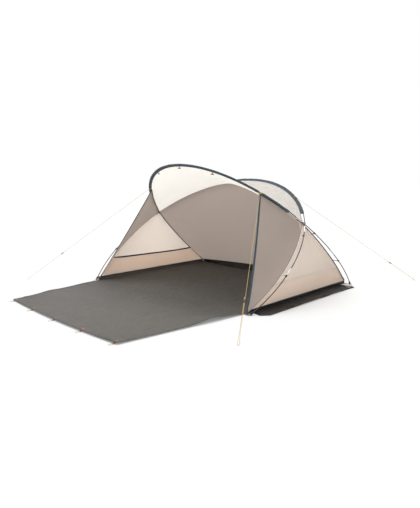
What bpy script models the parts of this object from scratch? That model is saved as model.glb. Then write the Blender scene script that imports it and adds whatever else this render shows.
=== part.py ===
"""Shell tent for the beach, metres, +Z up, open side towards -Y.

Two bent-rod hoops lean over each other. The front hoop stands on the rear floor corners and leans
forward over the way in, and the rear hoop stands on the front corners and leans back. They carry a
saddle-shaped ceiling, a back wall, two side walls and two front wings. A tub floor closes the
bottom, with a fold-out apron in front, a sand flap at each side and a pocket on each side wall.
The origin is the middle of the inner floor's underside, on the ground.
"""
import math

import bmesh
import bpy
import numpy as np
from mathutils import Matrix, Vector

# Fits
TOUCH = 0.0003
SEAM_INSET = 0.0016
WING_INSET = 0.0030

# Floor
FLOOR_DEPTH = 1.62
FLOOR_TAPER = 0.015
GROUND_SHEET = 0.0020
TUB_SIDE_RISE = 0.035
TUB_LEAN = 0.012
TUB_REAR_RISE = 0.060
TUB_REAR_BOW = 0.100

# Front hoop, with its feet behind the rear corners
FRONT_HOOP_HEIGHT = 1.200
FRONT_HOOP_REACH = 1.417
FRONT_HOOP_HALF_WIDTH = 1.090
FRONT_HOOP_FEET_TUCK = 0.047
FRONT_HOOP_FOOT_CLEAR = 0.058
FRONT_HOOP_SETBACK = 0.015

# Rear hoop, with its feet beside the front corners
REAR_HOOP_HEIGHT = 1.052
REAR_HOOP_REACH = 1.300
REAR_HOOP_FOOT_CLEAR = 0.034
REAR_HOOP_SETBACK = 0.0
CROSSING_GAP = 0.0006
WIDEST_SEARCH = 1.5
SEARCH_STEPS = 40

# Pole sections and their steel ferrules
POLE_RADIUS = 0.00425
FERRULE_RADIUS = 0.0055
FERRULE_LENGTH = 0.075
FRONT_END_SECTION = 0.600
REAR_END_SECTION = 0.517
SECTIONS = 9
POLE_STEP = 0.090
POLE_SIDES = 8
PLUG_FIT = 0.0003

# Sleeves
SLEEVE_REACH = 0.026
SLEEVE_ROUND = 0.0090
SLEEVE_WALL = 0.0010
SLEEVE_TIP = 0.0012
SLEEVE_OPENING = 100.0
SLEEVE_FACETS = 5
FRONT_GUY_ARC = 1.560
FRONT_SLEEVE_END_ARC = 1.245
REAR_GUY_ARC = 1.575
REAR_SLEEVE_END_ARC = 1.270
SLEEVE_BREAK = 0.030

# Fabric shell
FABRIC = 0.0016
CROSSING_TUCK = 0.020
FRONT_LEG_BOW = 0.020
REAR_LEG_BOW = 0.030
WING_EDGE_SAG = 0.020
WING_CORNER_CLEAR = 0.004
TIP_CUT = 0.012
LEG_STATIONS = 8
GUY_STATIONS = 5
SHOULDER_FADE = 1
ARCH_STATIONS = 18
REAR_STATIONS = 12
PANEL_ROWS = 8
CEILING_DRAW = 2.2
SKIN_PASSES = 1500

# Pockets
POCKET_FRONT_HEIGHT = 0.300
POCKET_REAR_HEIGHT = 0.200
POCKET_STAND_OFF = 0.0030
POCKET_BULGE = 0.012
POCKET_ROWS = 4

# Apron
APRON_LENGTH_LEFT = 1.035
APRON_LENGTH_RIGHT = 1.165
APRON_BULGE = 0.035
APRON_ROOT_CLEAR = 0.018
APRON_TAPER = 0.147
APRON_EDGE_STEPS = 12
PEG_LOOPS = 5
PEG_LOOP_MARGIN = 0.02
PEG_LOOP_LENGTH = 0.045
PEG_LOOP_WIDTH = 0.026
PEG_LOOP_BAND = 0.006

# Sand flaps
FLAP_WIDTH = 0.160
FLAP_FRONT_CLEAR = 0.080
FLAP_REAR_CLEAR = 0.080
FLAP_CHAMFER = 0.060
FLAP_WAIST = 0.008

# Clips between pole and seam
CLIP_WALL = 0.0025
CLIP_LENGTH = 0.022
CLIP_STRAP = 0.0018
CLIP_MOUTH = 50.0
CLIP_FACETS = 10
REAR_HOOP_CLIP_ARCS = (0.467, 0.950)
FRONT_HOOP_CLIP_ARCS = (0.450, 0.905)

# Foot anchors
ANCHOR_CUP_RADIUS = 0.0085
ANCHOR_CUP_LENGTH = 0.030
ANCHOR_WIDTH = 0.044
ANCHOR_PLATE = 0.0020
ANCHOR_TRIM = 0.20

# Toggles under the front hoop
TOGGLE_STATIONS = (-4, 0, 4)
TOGGLE_NAMES = ("toggle_left", "toggle_middle", "toggle_right")
TOGGLE_STRAP = 0.016
TOGGLE_STRAP_WIDTH = 0.010
TOGGLE_STRAP_THICKNESS = 0.0012
TOGGLE_LENGTH = 0.034
TOGGLE_RADIUS = 0.0045
BAR_SIDES = 8

# Guy lines and their runners
CORD_RADIUS = 0.0015
CORD_PITCH = 0.0055
CORD_LOOP_RADIUS = 0.0075
CORD_STATIONS = 10
CORD_LEAD = 0.100
LOOP_STEPS = 8
RETURN_STEPS = 5
RUNNER_LENGTH = 0.030
RUNNER_WIDTH = 0.016
RUNNER_THICKNESS = 0.0085
RUNNER_FIT = 0.0005
RUNNER_TAPERS = ((-0.5, 0.8), (-0.3, 1.0), (0.3, 1.0), (0.5, 0.8))
RUNNER_SECTION = ((-1.0, -0.5), (-0.7, -1.0), (0.7, -1.0), (1.0, -0.5), (1.0, 0.5), (0.7, 1.0),
                  (-0.7, 1.0), (-1.0, 0.5))
TAIL_LENGTH = 0.018
GUY_FRONT_LEFT_END = (-1.589, -1.297)
GUY_FRONT_RIGHT_END = (1.441, -1.437)
GUY_REAR_END = (1.453, 1.460)
RUNNER_FROM_GROUND = {"front_left": 0.465, "front_right": 0.385, "rear_right": 0.365,
                      "rear_left": 0.365}

FRONT_Y = -FLOOR_DEPTH / 2
REAR_Y = FLOOR_DEPTH / 2
FRONT_HOOP_FEET_HALF = FRONT_HOOP_HALF_WIDTH - FRONT_HOOP_FEET_TUCK
FLOOR_REAR_HALF = FRONT_HOOP_FEET_HALF - FRONT_HOOP_FOOT_CLEAR
FLOOR_FRONT_HALF = FLOOR_REAR_HALF + FLOOR_TAPER
REAR_HOOP_FEET_HALF = FLOOR_FRONT_HALF + REAR_HOOP_FOOT_CLEAR
APRON_ROOT_HALF = FLOOR_FRONT_HALF - APRON_ROOT_CLEAR
APRON_TIP_HALF = APRON_ROOT_HALF - APRON_TAPER
UP = np.array([0.0, 0.0, 1.0])
MIRROR = np.array([-1.0, 1.0, 1.0])

# Base colour, roughness and metallic value of each finish
FINISHES = {
    "cream": ((0.91, 0.87, 0.80), 0.75, 0.0),
    "taupe": ((0.36, 0.31, 0.27), 0.80, 0.0),
    "beige": ((0.72, 0.60, 0.49), 0.78, 0.0),
    "petrol": ((0.055, 0.09, 0.12), 0.70, 0.0),
    "ground": ((0.10, 0.095, 0.085), 0.65, 0.0),
    "pole": ((0.02, 0.018, 0.016), 0.35, 0.0),
    "plastic": ((0.02, 0.02, 0.02), 0.45, 0.0),
    "webbing": ((0.20, 0.18, 0.16), 0.80, 0.0),
    "toggle": ((0.30, 0.10, 0.04), 0.60, 0.0),
    "cord": ((0.75, 0.60, 0.28), 0.70, 0.0),
}


def unit(vector):
    return vector / np.linalg.norm(vector)


def clear_scene():
    for item in list(bpy.data.objects):
        bpy.data.objects.remove(item, do_unlink=True)


def material(name, finish):
    """A piece's own material, in one of the finishes above."""
    colour, roughness, metallic = FINISHES[finish]
    made = bpy.data.materials.new(name)
    made.use_nodes = True
    shader = made.node_tree.nodes["Principled BSDF"]
    shader.inputs["Base Color"].default_value = (*colour, 1.0)
    shader.inputs["Roughness"].default_value = roughness
    shader.inputs["Metallic"].default_value = metallic
    return made


def add_object(name, data, finish, pivot=None):
    """Link an object; a moving piece gets its origin at its pivot."""
    made = bpy.data.objects.new(name, data)
    bpy.context.collection.objects.link(made)
    made.data.materials.append(material(name, finish))
    if pivot is not None:
        made.data.transform(Matrix.Translation(-Vector(pivot)))
        made.location = Vector(pivot)
    return made


def add_solid(name, points, faces, finish, pivot=None, crease=40.0):
    """A closed mesh object from points and faces, with its faces turned outward."""
    mesh = bpy.data.meshes.new(name)
    mesh.from_pydata([tuple(point) for point in points], [], faces)
    shape = bmesh.new()
    shape.from_mesh(mesh)
    bmesh.ops.recalc_face_normals(shape, faces=shape.faces)
    shape.to_mesh(mesh)
    shape.free()
    mesh.shade_smooth()
    mesh.set_sharp_from_angle(angle=math.radians(crease))
    return add_object(name, mesh, finish, pivot)


class Hoop:
    """A rod bent in a leaning plane: an ellipse cut off at the ground line of its two feet.

    Arcs are lengths along the rod from the right foot.
    """

    def __init__(self, feet_y, towards, height, reach, feet_half, half_width):
        rise = math.hypot(height, reach)
        foot_cos = feet_half / half_width
        foot_sin = -math.sqrt(1.0 - foot_cos ** 2)
        self.feet_y = feet_y
        self.feet_half = feet_half
        self.half_width = half_width
        self.semi = rise / (1.0 - foot_sin)
        self.middle = -self.semi * foot_sin
        self.slope = towards * reach / height
        self.up = np.array([0.0, towards * reach / rise, height / rise])
        self.across = np.cross(np.array([1.0, 0.0, 0.0]), self.up)
        start = math.atan2(foot_sin, foot_cos)
        self.angles = np.linspace(start, math.pi - start, 4001)
        flat = np.stack([half_width * np.cos(self.angles), self.semi * np.sin(self.angles)])
        steps = np.hypot(*np.diff(flat, axis=1))
        self.arcs = np.concatenate([[0.0], np.cumsum(steps)])
        self.length = self.arcs[-1]

    def angle(self, arc):
        return np.interp(arc, self.arcs, self.angles)

    def point(self, arc):
        angle = self.angle(arc)
        rise = self.middle + self.semi * math.sin(angle)
        return np.array([self.half_width * math.cos(angle), self.feet_y, 0.0]) + rise * self.up

    def tangent(self, arc):
        angle = self.angle(arc)
        side = np.array([-self.half_width * math.sin(angle), 0.0, 0.0])
        return unit(side + self.semi * math.cos(angle) * self.up)

    def inward(self, arc):
        return unit(np.cross(self.tangent(arc), self.across) * -1.0)

    def arc_at_height(self, height):
        """Arc on the right leg where the rod's centre is at a height."""
        rise = height / self.up[2]
        angle = math.asin((rise - self.middle) / self.semi)
        return float(np.interp(angle, self.angles, self.arcs))

    def edge(self, arc, inset):
        return self.point(arc) + inset * self.inward(arc)


def front_hoop():
    return Hoop(REAR_Y + FRONT_HOOP_SETBACK, -1.0, FRONT_HOOP_HEIGHT, FRONT_HOOP_REACH,
                FRONT_HOOP_FEET_HALF, FRONT_HOOP_HALF_WIDTH)


def rear_hoop(inner_hoop):
    """The rear hoop, as wide as it takes to pass just outside the front one where they cross."""
    slope = REAR_HOOP_REACH / REAR_HOOP_HEIGHT
    feet_y = FRONT_Y - REAR_HOOP_SETBACK
    height = (inner_hoop.feet_y - feet_y) / (slope - inner_hoop.slope)
    inner = inner_hoop.point(inner_hoop.arc_at_height(height))[0]
    wanted = inner + 2 * FERRULE_RADIUS + CROSSING_GAP
    narrow = REAR_HOOP_FEET_HALF + TOUCH
    wide = REAR_HOOP_FEET_HALF * WIDEST_SEARCH
    for _ in range(SEARCH_STEPS):
        middle = (narrow + wide) / 2
        hoop = Hoop(feet_y, 1.0, REAR_HOOP_HEIGHT, REAR_HOOP_REACH, REAR_HOOP_FEET_HALF, middle)
        if hoop.point(hoop.arc_at_height(height))[0] < wanted:
            narrow = middle
        else:
            wide = middle
    return hoop


FRONT_HOOP = front_hoop()
REAR_HOOP = rear_hoop(FRONT_HOOP)


def mirrored(points):
    return [point * MIRROR for point in points]


def pinned(points, fade, start=None, end=None):
    """Shift the ends of a run of points onto given places; the shift fades over some points."""
    head = np.zeros(3) if start is None else start - points[0]
    tail = np.zeros(3) if end is None else end - points[-1]
    last = len(points) - 1
    moved = []
    for k, point in enumerate(points):
        near_start = max(0.0, 1 - k / fade)
        near_end = max(0.0, 1 - (last - k) / fade)
        moved.append(point + head * near_start + tail * near_end)
    return moved


def crossing_height():
    return (FRONT_HOOP.feet_y - REAR_HOOP.feet_y) / (REAR_HOOP.slope - FRONT_HOOP.slope)


def crossing_point():
    """Where the four fabric panels of the right side meet, just inside both rods."""
    rod = FRONT_HOOP.point(FRONT_HOOP.arc_at_height(crossing_height()))
    return rod - np.array([CROSSING_TUCK, 0.0, 0.0])


def leg_seam(hoop, floor_half, bow):
    """Seam from the crossing down a hoop's right leg to the tub's rim."""
    top = hoop.arc_at_height(crossing_height())
    bottom = hoop.arc_at_height(TUB_SIDE_RISE)
    foot_inset = hoop.feet_half - floor_half
    corner_y = hoop.feet_y + hoop.slope * TUB_SIDE_RISE
    corner = np.array([floor_half + TUB_LEAN, corner_y, TUB_SIDE_RISE])
    points = []
    for k in range(LEG_STATIONS + 1):
        share = k / LEG_STATIONS
        inset = CROSSING_TUCK + (foot_inset - CROSSING_TUCK) * share + bow * math.sin(math.pi * share)
        points.append(hoop.edge(top + (bottom - top) * share, inset))
    return pinned(points, LEG_STATIONS, start=crossing_point(), end=corner)


def front_shoulder():
    """Seam from the front guy point down the front hoop to the crossing, right side."""
    top = FRONT_GUY_ARC
    bottom = FRONT_HOOP.arc_at_height(crossing_height())
    points = [FRONT_HOOP.edge(arc, SLEEVE_REACH) for arc in evenly(top, bottom, GUY_STATIONS)]
    return pinned(points, SHOULDER_FADE, end=crossing_point())


def front_arch():
    """Ceiling edge over the way in, from the right guy point to the left one."""
    arcs = evenly(FRONT_GUY_ARC, FRONT_HOOP.length - FRONT_GUY_ARC, ARCH_STATIONS)
    return [FRONT_HOOP.edge(arc, SLEEVE_REACH) for arc in arcs]


def rear_arch():
    """Seam of ceiling and back wall along the rear hoop, from crossing to crossing."""
    foot = REAR_HOOP.arc_at_height(crossing_height())
    arcs = evenly(foot, REAR_HOOP.length - foot, 2 * GUY_STATIONS + ARCH_STATIONS)
    right = crossing_point()
    points = [REAR_HOOP.edge(arc, SLEEVE_REACH) for arc in arcs]
    return pinned(points, SHOULDER_FADE, start=right, end=right * MIRROR)


def evenly(start, end, count):
    return [start + (end - start) * k / count for k in range(count + 1)]


def straight(start, end, count, sag=0.0, towards=None):
    points = []
    for k in range(count + 1):
        share = k / count
        point = start + (end - start) * share
        if towards is not None:
            point = point + towards * sag * 4 * share * (1 - share)
        points.append(point)
    return points


REAR_LEG_SEAM = leg_seam(REAR_HOOP, FLOOR_FRONT_HALF, REAR_LEG_BOW)
FRONT_LEG_SEAM = leg_seam(FRONT_HOOP, FLOOR_REAR_HALF, FRONT_LEG_BOW)
SHOULDER = front_shoulder()
RIM_FRONT = REAR_LEG_SEAM[-1]
RIM_REAR = FRONT_LEG_SEAM[-1]


def rear_rim():
    """Top of the tub's rear wall, from right to left, higher in the middle."""
    lift = UP * (TUB_REAR_RISE - TUB_SIDE_RISE)
    return straight(RIM_REAR, RIM_REAR * MIRROR, REAR_STATIONS, 1.0, lift)


def relaxed(edge_a, edge_b, rows, draw=1.0, cut=TIP_CUT):
    """A stretched skin between two edges: every inner point is the mean of its neighbours.

    draw is how much harder the fabric pulls along the edges than from edge to edge.
    """
    a = np.array(edge_a)
    b = np.array(edge_b)
    for side in (a, b):
        side[0] += unit(side[1] - side[0]) * cut
        side[-1] += unit(side[-2] - side[-1]) * cut
    share = np.linspace(0.0, 1.0, rows + 1)[None, :, None]
    grid = a[:, None, :] * (1 - share) + b[:, None, :] * share
    for _ in range(SKIN_PASSES):
        along = grid[:-2, 1:-1] + grid[2:, 1:-1]
        across = grid[1:-1, :-2] + grid[1:-1, 2:]
        grid[1:-1, 1:-1] = (draw * along + across) / (2 * draw + 2)
    return grid


def grid_normals(grid):
    along = np.gradient(grid, axis=0)
    across = np.gradient(grid, axis=1)
    normal = np.cross(along, across)
    return normal / np.linalg.norm(normal, axis=2, keepdims=True)


def pulled_in(grid, inset_a, inset_b, inset_ends, draw=1.0):
    """Stretch the skin again between borders drawn inward, so that panels stay apart at a seam."""
    edge_a = grid[:, 0] + inset_a * steps_towards(grid[:, 0], grid[:, 1])
    edge_b = grid[:, -1] + inset_b * steps_towards(grid[:, -1], grid[:, -2])
    return relaxed(edge_a, edge_b, grid.shape[1] - 1, draw, inset_ends)


def steps_towards(border, inner):
    step = inner - border
    return step / np.linalg.norm(step, axis=1, keepdims=True)


def sheet_faces(grid):
    """Faces of a closed sheet whose front points come first and back points second.

    Both layers are split along the same diagonal, the shorter one, so they never cross.
    """
    stations, width = grid.shape[:2]
    layer = stations * width
    faces = []
    for i in range(stations - 1):
        for j in range(width - 1):
            a = i * width + j
            b = a + width
            slant = np.linalg.norm(grid[i + 1, j + 1] - grid[i, j])
            other_slant = np.linalg.norm(grid[i, j + 1] - grid[i + 1, j])
            halves = ((a, b, b + 1), (a, b + 1, a + 1))
            if other_slant < slant:
                halves = ((a, b, a + 1), (b, b + 1, a + 1))
            for half in halves:
                faces.append(half)
                faces.append(tuple(layer + index for index in reversed(half)))
    for i in range(stations - 1):
        for j in (0, width - 1):
            a = i * width + j
            faces.append((a, a + width, layer + a + width, layer + a))
    for i in (0, stations - 1):
        for j in range(width - 1):
            a = i * width + j
            faces.append((a, a + 1, layer + a + 1, layer + a))
    return faces


def sheet_points(grid, thickness):
    shift = grid_normals(grid) * thickness / 2
    return np.concatenate([(grid + shift).reshape(-1, 3), (grid - shift).reshape(-1, 3)])


def add_sheet(name, grid, thickness, finish):
    points = sheet_points(grid, thickness)
    return add_solid(name, points, sheet_faces(grid), finish)


def build_ceiling():
    right = list(reversed(SHOULDER))
    front = right[:-1] + front_arch() + mirrored(SHOULDER)[1:]
    grid = relaxed(front, rear_arch(), PANEL_ROWS, CEILING_DRAW)
    grid = pulled_in(grid, SEAM_INSET, SEAM_INSET, 0.0, CEILING_DRAW)
    add_sheet("ceiling", grid, FABRIC, "cream")


def build_back_wall():
    low = FRONT_LEG_SEAM + rear_rim()[1:] + list(reversed(mirrored(FRONT_LEG_SEAM)))[1:]
    grid = relaxed(rear_arch(), low, PANEL_ROWS)
    add_sheet("back_wall", pulled_in(grid, SEAM_INSET, SEAM_INSET, 0.0), FABRIC, "taupe")


def side_wall_grid():
    high = list(reversed(REAR_LEG_SEAM)) + FRONT_LEG_SEAM[1:]
    low = straight(RIM_FRONT, RIM_REAR, 2 * LEG_STATIONS)
    return relaxed(high, low, PANEL_ROWS)


def wing_grid():
    seam = SHOULDER + REAR_LEG_SEAM[1:]
    corner = np.array([FLOOR_FRONT_HALF, FRONT_Y, GROUND_SHEET + WING_CORNER_CLEAR])
    lean = unit(SHOULDER[-1] - (SHOULDER[0] + corner) / 2)
    edge = straight(SHOULDER[0], corner, len(seam) - 1, WING_EDGE_SAG, lean)
    return relaxed(seam, edge, PANEL_ROWS // 2)


def build_sides():
    side = pulled_in(side_wall_grid(), SEAM_INSET, 2 * TOUCH, 0.0)
    wing = pulled_in(wing_grid(), WING_INSET, 0.0, TOUCH)
    for label, flip in (("right", np.ones(3)), ("left", MIRROR)):
        add_sheet("side_wall_" + label, side * flip, FABRIC, "beige")
        add_sheet("wing_" + label, wing * flip, FABRIC, "taupe")


def build_pockets():
    """A second layer over the lower part of each side wall, open along its hem."""
    wall = side_wall_grid()
    front = wall[0, 0, 1]
    rear = wall[-1, 0, 1]
    share = np.linspace(0.0, 1.0, POCKET_ROWS + 1)
    columns = []
    for i in range(1, wall.shape[0] - 1):
        column = wall[i]
        place = (column[:, 1].mean() - front) / (rear - front)
        hem = POCKET_FRONT_HEIGHT + (POCKET_REAR_HEIGHT - POCKET_FRONT_HEIGHT) * place
        top = min(hem, column[0, 2] - 4 * SEAM_INSET)
        heights = top + (column[-1, 2] + 4 * TOUCH - top) * share
        fan = column[::-1]
        columns.append([[np.interp(z, fan[:, 2], fan[:, axis]) for axis in range(3)] for z in heights])
    grid = np.array(columns)
    ramp = np.sin(np.linspace(0.0, math.pi, grid.shape[0]))[:, None]
    stand_off = POCKET_STAND_OFF + POCKET_BULGE * ramp * (1 - share)[None, :]
    normal = grid_normals(grid)
    inner = grid - np.sign(normal[:, :, :1]) * normal * stand_off[:, :, None]
    for label, flip in (("right", np.ones(3)), ("left", MIRROR)):
        add_sheet("pocket_" + label, inner * flip, FABRIC, "beige")


def ring(hoop, arc, section):
    """A cross-section, given as pairs (towards the inside, across the plane), set on the rod."""
    centre = hoop.point(arc)
    inward = hoop.inward(arc)
    return [centre + u * inward + v * hoop.across for u, v in section]


def round_section(radius, sides):
    turns = [2 * math.pi * (k + 0.5) / sides for k in range(sides)]
    return [(radius * math.cos(turn), radius * math.sin(turn)) for turn in turns]


def band_faces(rings, sides, closed):
    faces = []
    for i in range(rings if closed else rings - 1):
        for j in range(sides):
            a = i * sides + j
            b = i * sides + (j + 1) % sides
            c = (i + 1) % rings * sides + (j + 1) % sides
            d = (i + 1) % rings * sides + j
            faces.append((a, b, c, d))
    return faces


def spaced(stops, step):
    """Fill the stretches between stops with even points no further apart than a step."""
    arcs = [stops[0]]
    for start, end in zip(stops[:-1], stops[1:]):
        arcs += evenly(start, end, max(1, math.ceil((end - start) / step)))[1:]
    return arcs


def foot_arc(hoop):
    """Arc of the rod's end, which stands on the anchor's plate."""
    return (ANCHOR_PLATE + TOUCH + POLE_RADIUS) / hoop.up[2]


def section_cuts(hoop):
    """Arcs of both rod ends and of the joints between the sections."""
    end_section = FRONT_END_SECTION if hoop is FRONT_HOOP else REAR_END_SECTION
    joints = evenly(end_section, hoop.length - end_section, SECTIONS - 2)
    return [foot_arc(hoop)] + joints + [hoop.length - foot_arc(hoop)]


def held_stops(hoop):
    """Arcs where cups, clips and guy lines hold the rod, which runs straight through them."""
    clips = FRONT_HOOP_CLIP_ARCS if hoop is FRONT_HOOP else REAR_HOOP_CLIP_ARCS
    right = [foot_arc(hoop) + ANCHOR_CUP_LENGTH]
    for arc in clips:
        right += [arc - CLIP_LENGTH / 2, arc + CLIP_LENGTH / 2]
    right.append(FRONT_GUY_ARC if hoop is FRONT_HOOP else REAR_GUY_ARC)
    return right + [hoop.length - arc for arc in reversed(right)]


def pole_profile(hoop, k):
    """Arc and radius down one section: rod, ferrule, and the bore for the next rod."""
    half = FERRULE_LENGTH / 2
    start, end = section_cuts(hoop)[k:k + 2]
    low = start if k == 0 else start + half
    high = end if k == SECTIONS - 1 else end - half
    held = [arc for arc in held_stops(hoop) if low + TOUCH < arc < high - TOUCH]
    arcs = spaced([low] + held + [high], POLE_STEP)
    if k > 0:
        arcs = [start + TOUCH] + arcs
    profile = [(arc, POLE_RADIUS) for arc in arcs]
    if k < SECTIONS - 1:
        bore = POLE_RADIUS + PLUG_FIT
        profile += [(end - half, FERRULE_RADIUS), (end, FERRULE_RADIUS), (end + half, FERRULE_RADIUS)]
        profile += [(end + half, bore), (end, bore)]
    return profile


def build_poles():
    for hoop, label in ((FRONT_HOOP, "front_pole_"), (REAR_HOOP, "rear_pole_")):
        for k in range(SECTIONS):
            add_bar(label + str(k + 1), hoop, pole_profile(hoop, k), "pole")


def add_bar(name, hoop, profile, finish):
    """A solid that follows a hoop, from pairs of arc and radius."""
    points = []
    for arc, radius in profile:
        points += ring(hoop, arc, round_section(radius, POLE_SIDES))
    last = (len(profile) - 1) * POLE_SIDES
    faces = band_faces(len(profile), POLE_SIDES, False)
    faces.append(tuple(range(POLE_SIDES)))
    faces.append(tuple(range(last, last + POLE_SIDES)))
    return add_solid(name, points, faces, finish)


def sleeve_section(radius, tip_reach, tip):
    """Teardrop round the rod, drawn out to a flat tip at the seam."""
    degrees = evenly(SLEEVE_OPENING, 360.0 - SLEEVE_OPENING, SLEEVE_FACETS)
    turns = [math.radians(turn) for turn in degrees]
    back = [(radius * math.cos(turn), radius * math.sin(turn)) for turn in turns]
    return back + [(tip_reach, -tip), (tip_reach, tip)]


def seam_arcs(hoop):
    """Arcs of the fabric's stations along a hoop, which its sleeves share."""
    foot = hoop.arc_at_height(crossing_height())
    if hoop is REAR_HOOP:
        return evenly(foot, hoop.length - foot, 2 * GUY_STATIONS + ARCH_STATIONS)
    side = evenly(foot, FRONT_GUY_ARC, GUY_STATIONS)
    arch = evenly(FRONT_GUY_ARC, hoop.length - FRONT_GUY_ARC, ARCH_STATIONS)
    return side + arch[1:-1] + [hoop.length - arc for arc in reversed(side)]


def build_sleeve(name, hoop, start, end):
    outer = sleeve_section(SLEEVE_ROUND, SLEEVE_REACH, SLEEVE_TIP)
    inner = sleeve_section(SLEEVE_ROUND - SLEEVE_WALL, SLEEVE_REACH - 3 * SLEEVE_TIP, SLEEVE_TIP / 3)
    arcs = [start] + [arc for arc in seam_arcs(hoop) if start + TOUCH < arc < end - TOUCH] + [end]
    sides = len(outer)
    points = []
    for arc in arcs:
        points += ring(hoop, arc, outer)
    for arc in reversed(arcs):
        points += ring(hoop, arc, inner)
    add_solid(name, points, band_faces(2 * len(arcs), sides, True), "petrol")


def build_sleeves():
    spans = ((FRONT_HOOP, "front_sleeve_", FRONT_GUY_ARC, FRONT_SLEEVE_END_ARC),
             (REAR_HOOP, "rear_sleeve_", REAR_GUY_ARC, REAR_SLEEVE_END_ARC))
    half = SLEEVE_BREAK / 2
    for hoop, label, guy, end in spans:
        total = hoop.length
        build_sleeve(label + "right", hoop, end, guy - half)
        build_sleeve(label + "centre", hoop, guy + half, total - guy - half)
        build_sleeve(label + "left", hoop, total - guy + half, total - end)


def build_clips():
    """A snap clip on the rod with a short strap to the seam; two on each leg."""
    inner = POLE_RADIUS + PLUG_FIT
    outer = inner + CLIP_WALL
    mouth = math.radians(CLIP_MOUTH)
    turns = evenly(mouth, 2 * math.pi - mouth, CLIP_FACETS)
    middle = CLIP_FACETS // 2
    legs = ((REAR_HOOP, "rear_hoop", REAR_HOOP_CLIP_ARCS, REAR_LEG_SEAM),
            (FRONT_HOOP, "front_hoop", FRONT_HOOP_CLIP_ARCS, FRONT_LEG_SEAM))
    for hoop, label, arcs, seam in legs:
        for arc, level in zip(arcs, ("low", "high")):
            reach = seam_distance(hoop, arc, seam) - TOUCH
            half = CLIP_STRAP / 2
            bore = [(-inner * math.cos(turn), inner * math.sin(turn)) for turn in reversed(turns)]
            back = [(-outer * math.cos(turn), outer * math.sin(turn)) for turn in turns]
            strap = [(reach, half), (reach, -half)]
            root = [(outer, half)] + strap + [(outer, -half)]
            section = bore + back[:middle] + root + back[middle + 1:]
            count = len(section)
            points = ring(hoop, arc - CLIP_LENGTH / 2, section)
            points += ring(hoop, arc + CLIP_LENGTH / 2, section)
            faces = [tuple(range(count)), tuple(range(2 * count - 1, count - 1, -1))]
            faces += [(j, (j + 1) % count, count + (j + 1) % count, count + j) for j in range(count)]
            add_solid("clip_" + label + "_right_" + level, points, faces, "plastic")
            add_solid("clip_" + label + "_left_" + level, mirrored(points), faces, "plastic")


def seam_distance(hoop, arc, seam):
    """How far inside the rod the seam runs, at an arc."""
    rod = hoop.point(arc)
    tangent = hoop.tangent(arc)
    inward = hoop.inward(arc)
    along = [float((point - rod) @ tangent) for point in seam]
    depth = [float((point - rod) @ inward) for point in seam]
    order = np.argsort(along)
    return float(np.interp(0.0, np.array(along)[order], np.array(depth)[order]))


def outline_solid(name, outline, low, high, finish, pivot=None):
    """A flat plate between two heights, from its outline."""
    count = len(outline)
    points = [(x, y, low) for x, y in outline] + [(x, y, high) for x, y in outline]
    faces = [tuple(range(count - 1, -1, -1)), tuple(range(count, 2 * count))]
    faces += [(j, (j + 1) % count, count + (j + 1) % count, count + j) for j in range(count)]
    return add_solid(name, points, faces, finish, pivot)


def apply_boolean(target, other, operation):
    """Join or cut a mesh with another one and drop the other."""
    change = target.modifiers.new("change", "BOOLEAN")
    change.object = other
    change.operation = operation
    change.solver = "EXACT"
    depsgraph = bpy.context.evaluated_depsgraph_get()
    mesh = bpy.data.meshes.new_from_object(target.evaluated_get(depsgraph))
    target.modifiers.clear()
    target.data = mesh
    bpy.data.objects.remove(other, do_unlink=True)


def cylinder(name, start, end, radius, sides, finish):
    """A round bar between two points."""
    axis = unit(end - start)
    side = unit(np.cross(axis, UP if abs(axis[2]) < 0.9 else np.array([1.0, 0.0, 0.0])))
    other = np.cross(axis, side)
    points = []
    for centre in (start, end):
        points += [centre + u * side + v * other for u, v in round_section(radius, sides)]
    faces = band_faces(2, sides, False)
    faces += [tuple(range(sides)), tuple(range(2 * sides - 1, sides - 1, -1))]
    return add_solid(name, points, faces, finish)


def build_tub_floor():
    """Floor sheet with a low wall at both sides and a bowed one at the rear."""
    low = [np.array([FLOOR_FRONT_HALF, FRONT_Y, 0.0])]
    rim = [RIM_FRONT]
    for k, top in enumerate(rear_rim()):
        share = k / REAR_STATIONS
        x = FLOOR_REAR_HALF * (1 - 2 * share)
        low.append(np.array([x, REAR_Y - TUB_REAR_BOW * 4 * share * (1 - share), 0.0]))
        rim.append(top)
    low.append(low[0] * MIRROR)
    rim.append(rim[0] * MIRROR)
    count = len(low)
    inner_rim = [drawn_in(point) for point in rim]
    inner_low = [drawn_in(point) + UP * GROUND_SHEET for point in low]
    points = low + rim + inner_rim + inner_low
    faces = [tuple(range(count)), tuple(range(4 * count - 1, 3 * count - 1, -1))]
    for j in range(count - 1):
        outer, top, inner = j, count + j, 2 * count + j
        faces.append((outer, outer + 1, top + 1))
        faces.append((outer, top + 1, top))
        faces.append((top, top + 1, inner + 1, inner))
        faces.append((inner + count, inner + 1, inner + count + 1))
        faces.append((inner + count, inner, inner + 1))
    front = [0, count - 1]
    faces.append((front[0], front[1], 3 * count + front[1], 3 * count + front[0]))
    for end in front:
        faces.append((end, count + end, 2 * count + end, 3 * count + end))
    add_solid("tub_floor", points, faces, "ground")


def drawn_in(point):
    """A point of the tub's side or rear moved inward by the sheet's thickness."""
    at_side = abs(point[0]) > FLOOR_REAR_HALF * (1 - 1 / REAR_STATIONS)
    step_x = math.copysign(GROUND_SHEET, point[0]) if at_side else 0.0
    step_y = GROUND_SHEET if point[1] > 0 else 0.0
    return point - np.array([step_x, step_y, 0.0])


def apron_edge(share):
    """The apron's front edge from left (0) to right (1)."""
    x = APRON_TIP_HALF * (2 * share - 1)
    reach = APRON_LENGTH_LEFT + (APRON_LENGTH_RIGHT - APRON_LENGTH_LEFT) * share
    return x, FRONT_Y - reach - APRON_BULGE * 4 * share * (1 - share)


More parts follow.
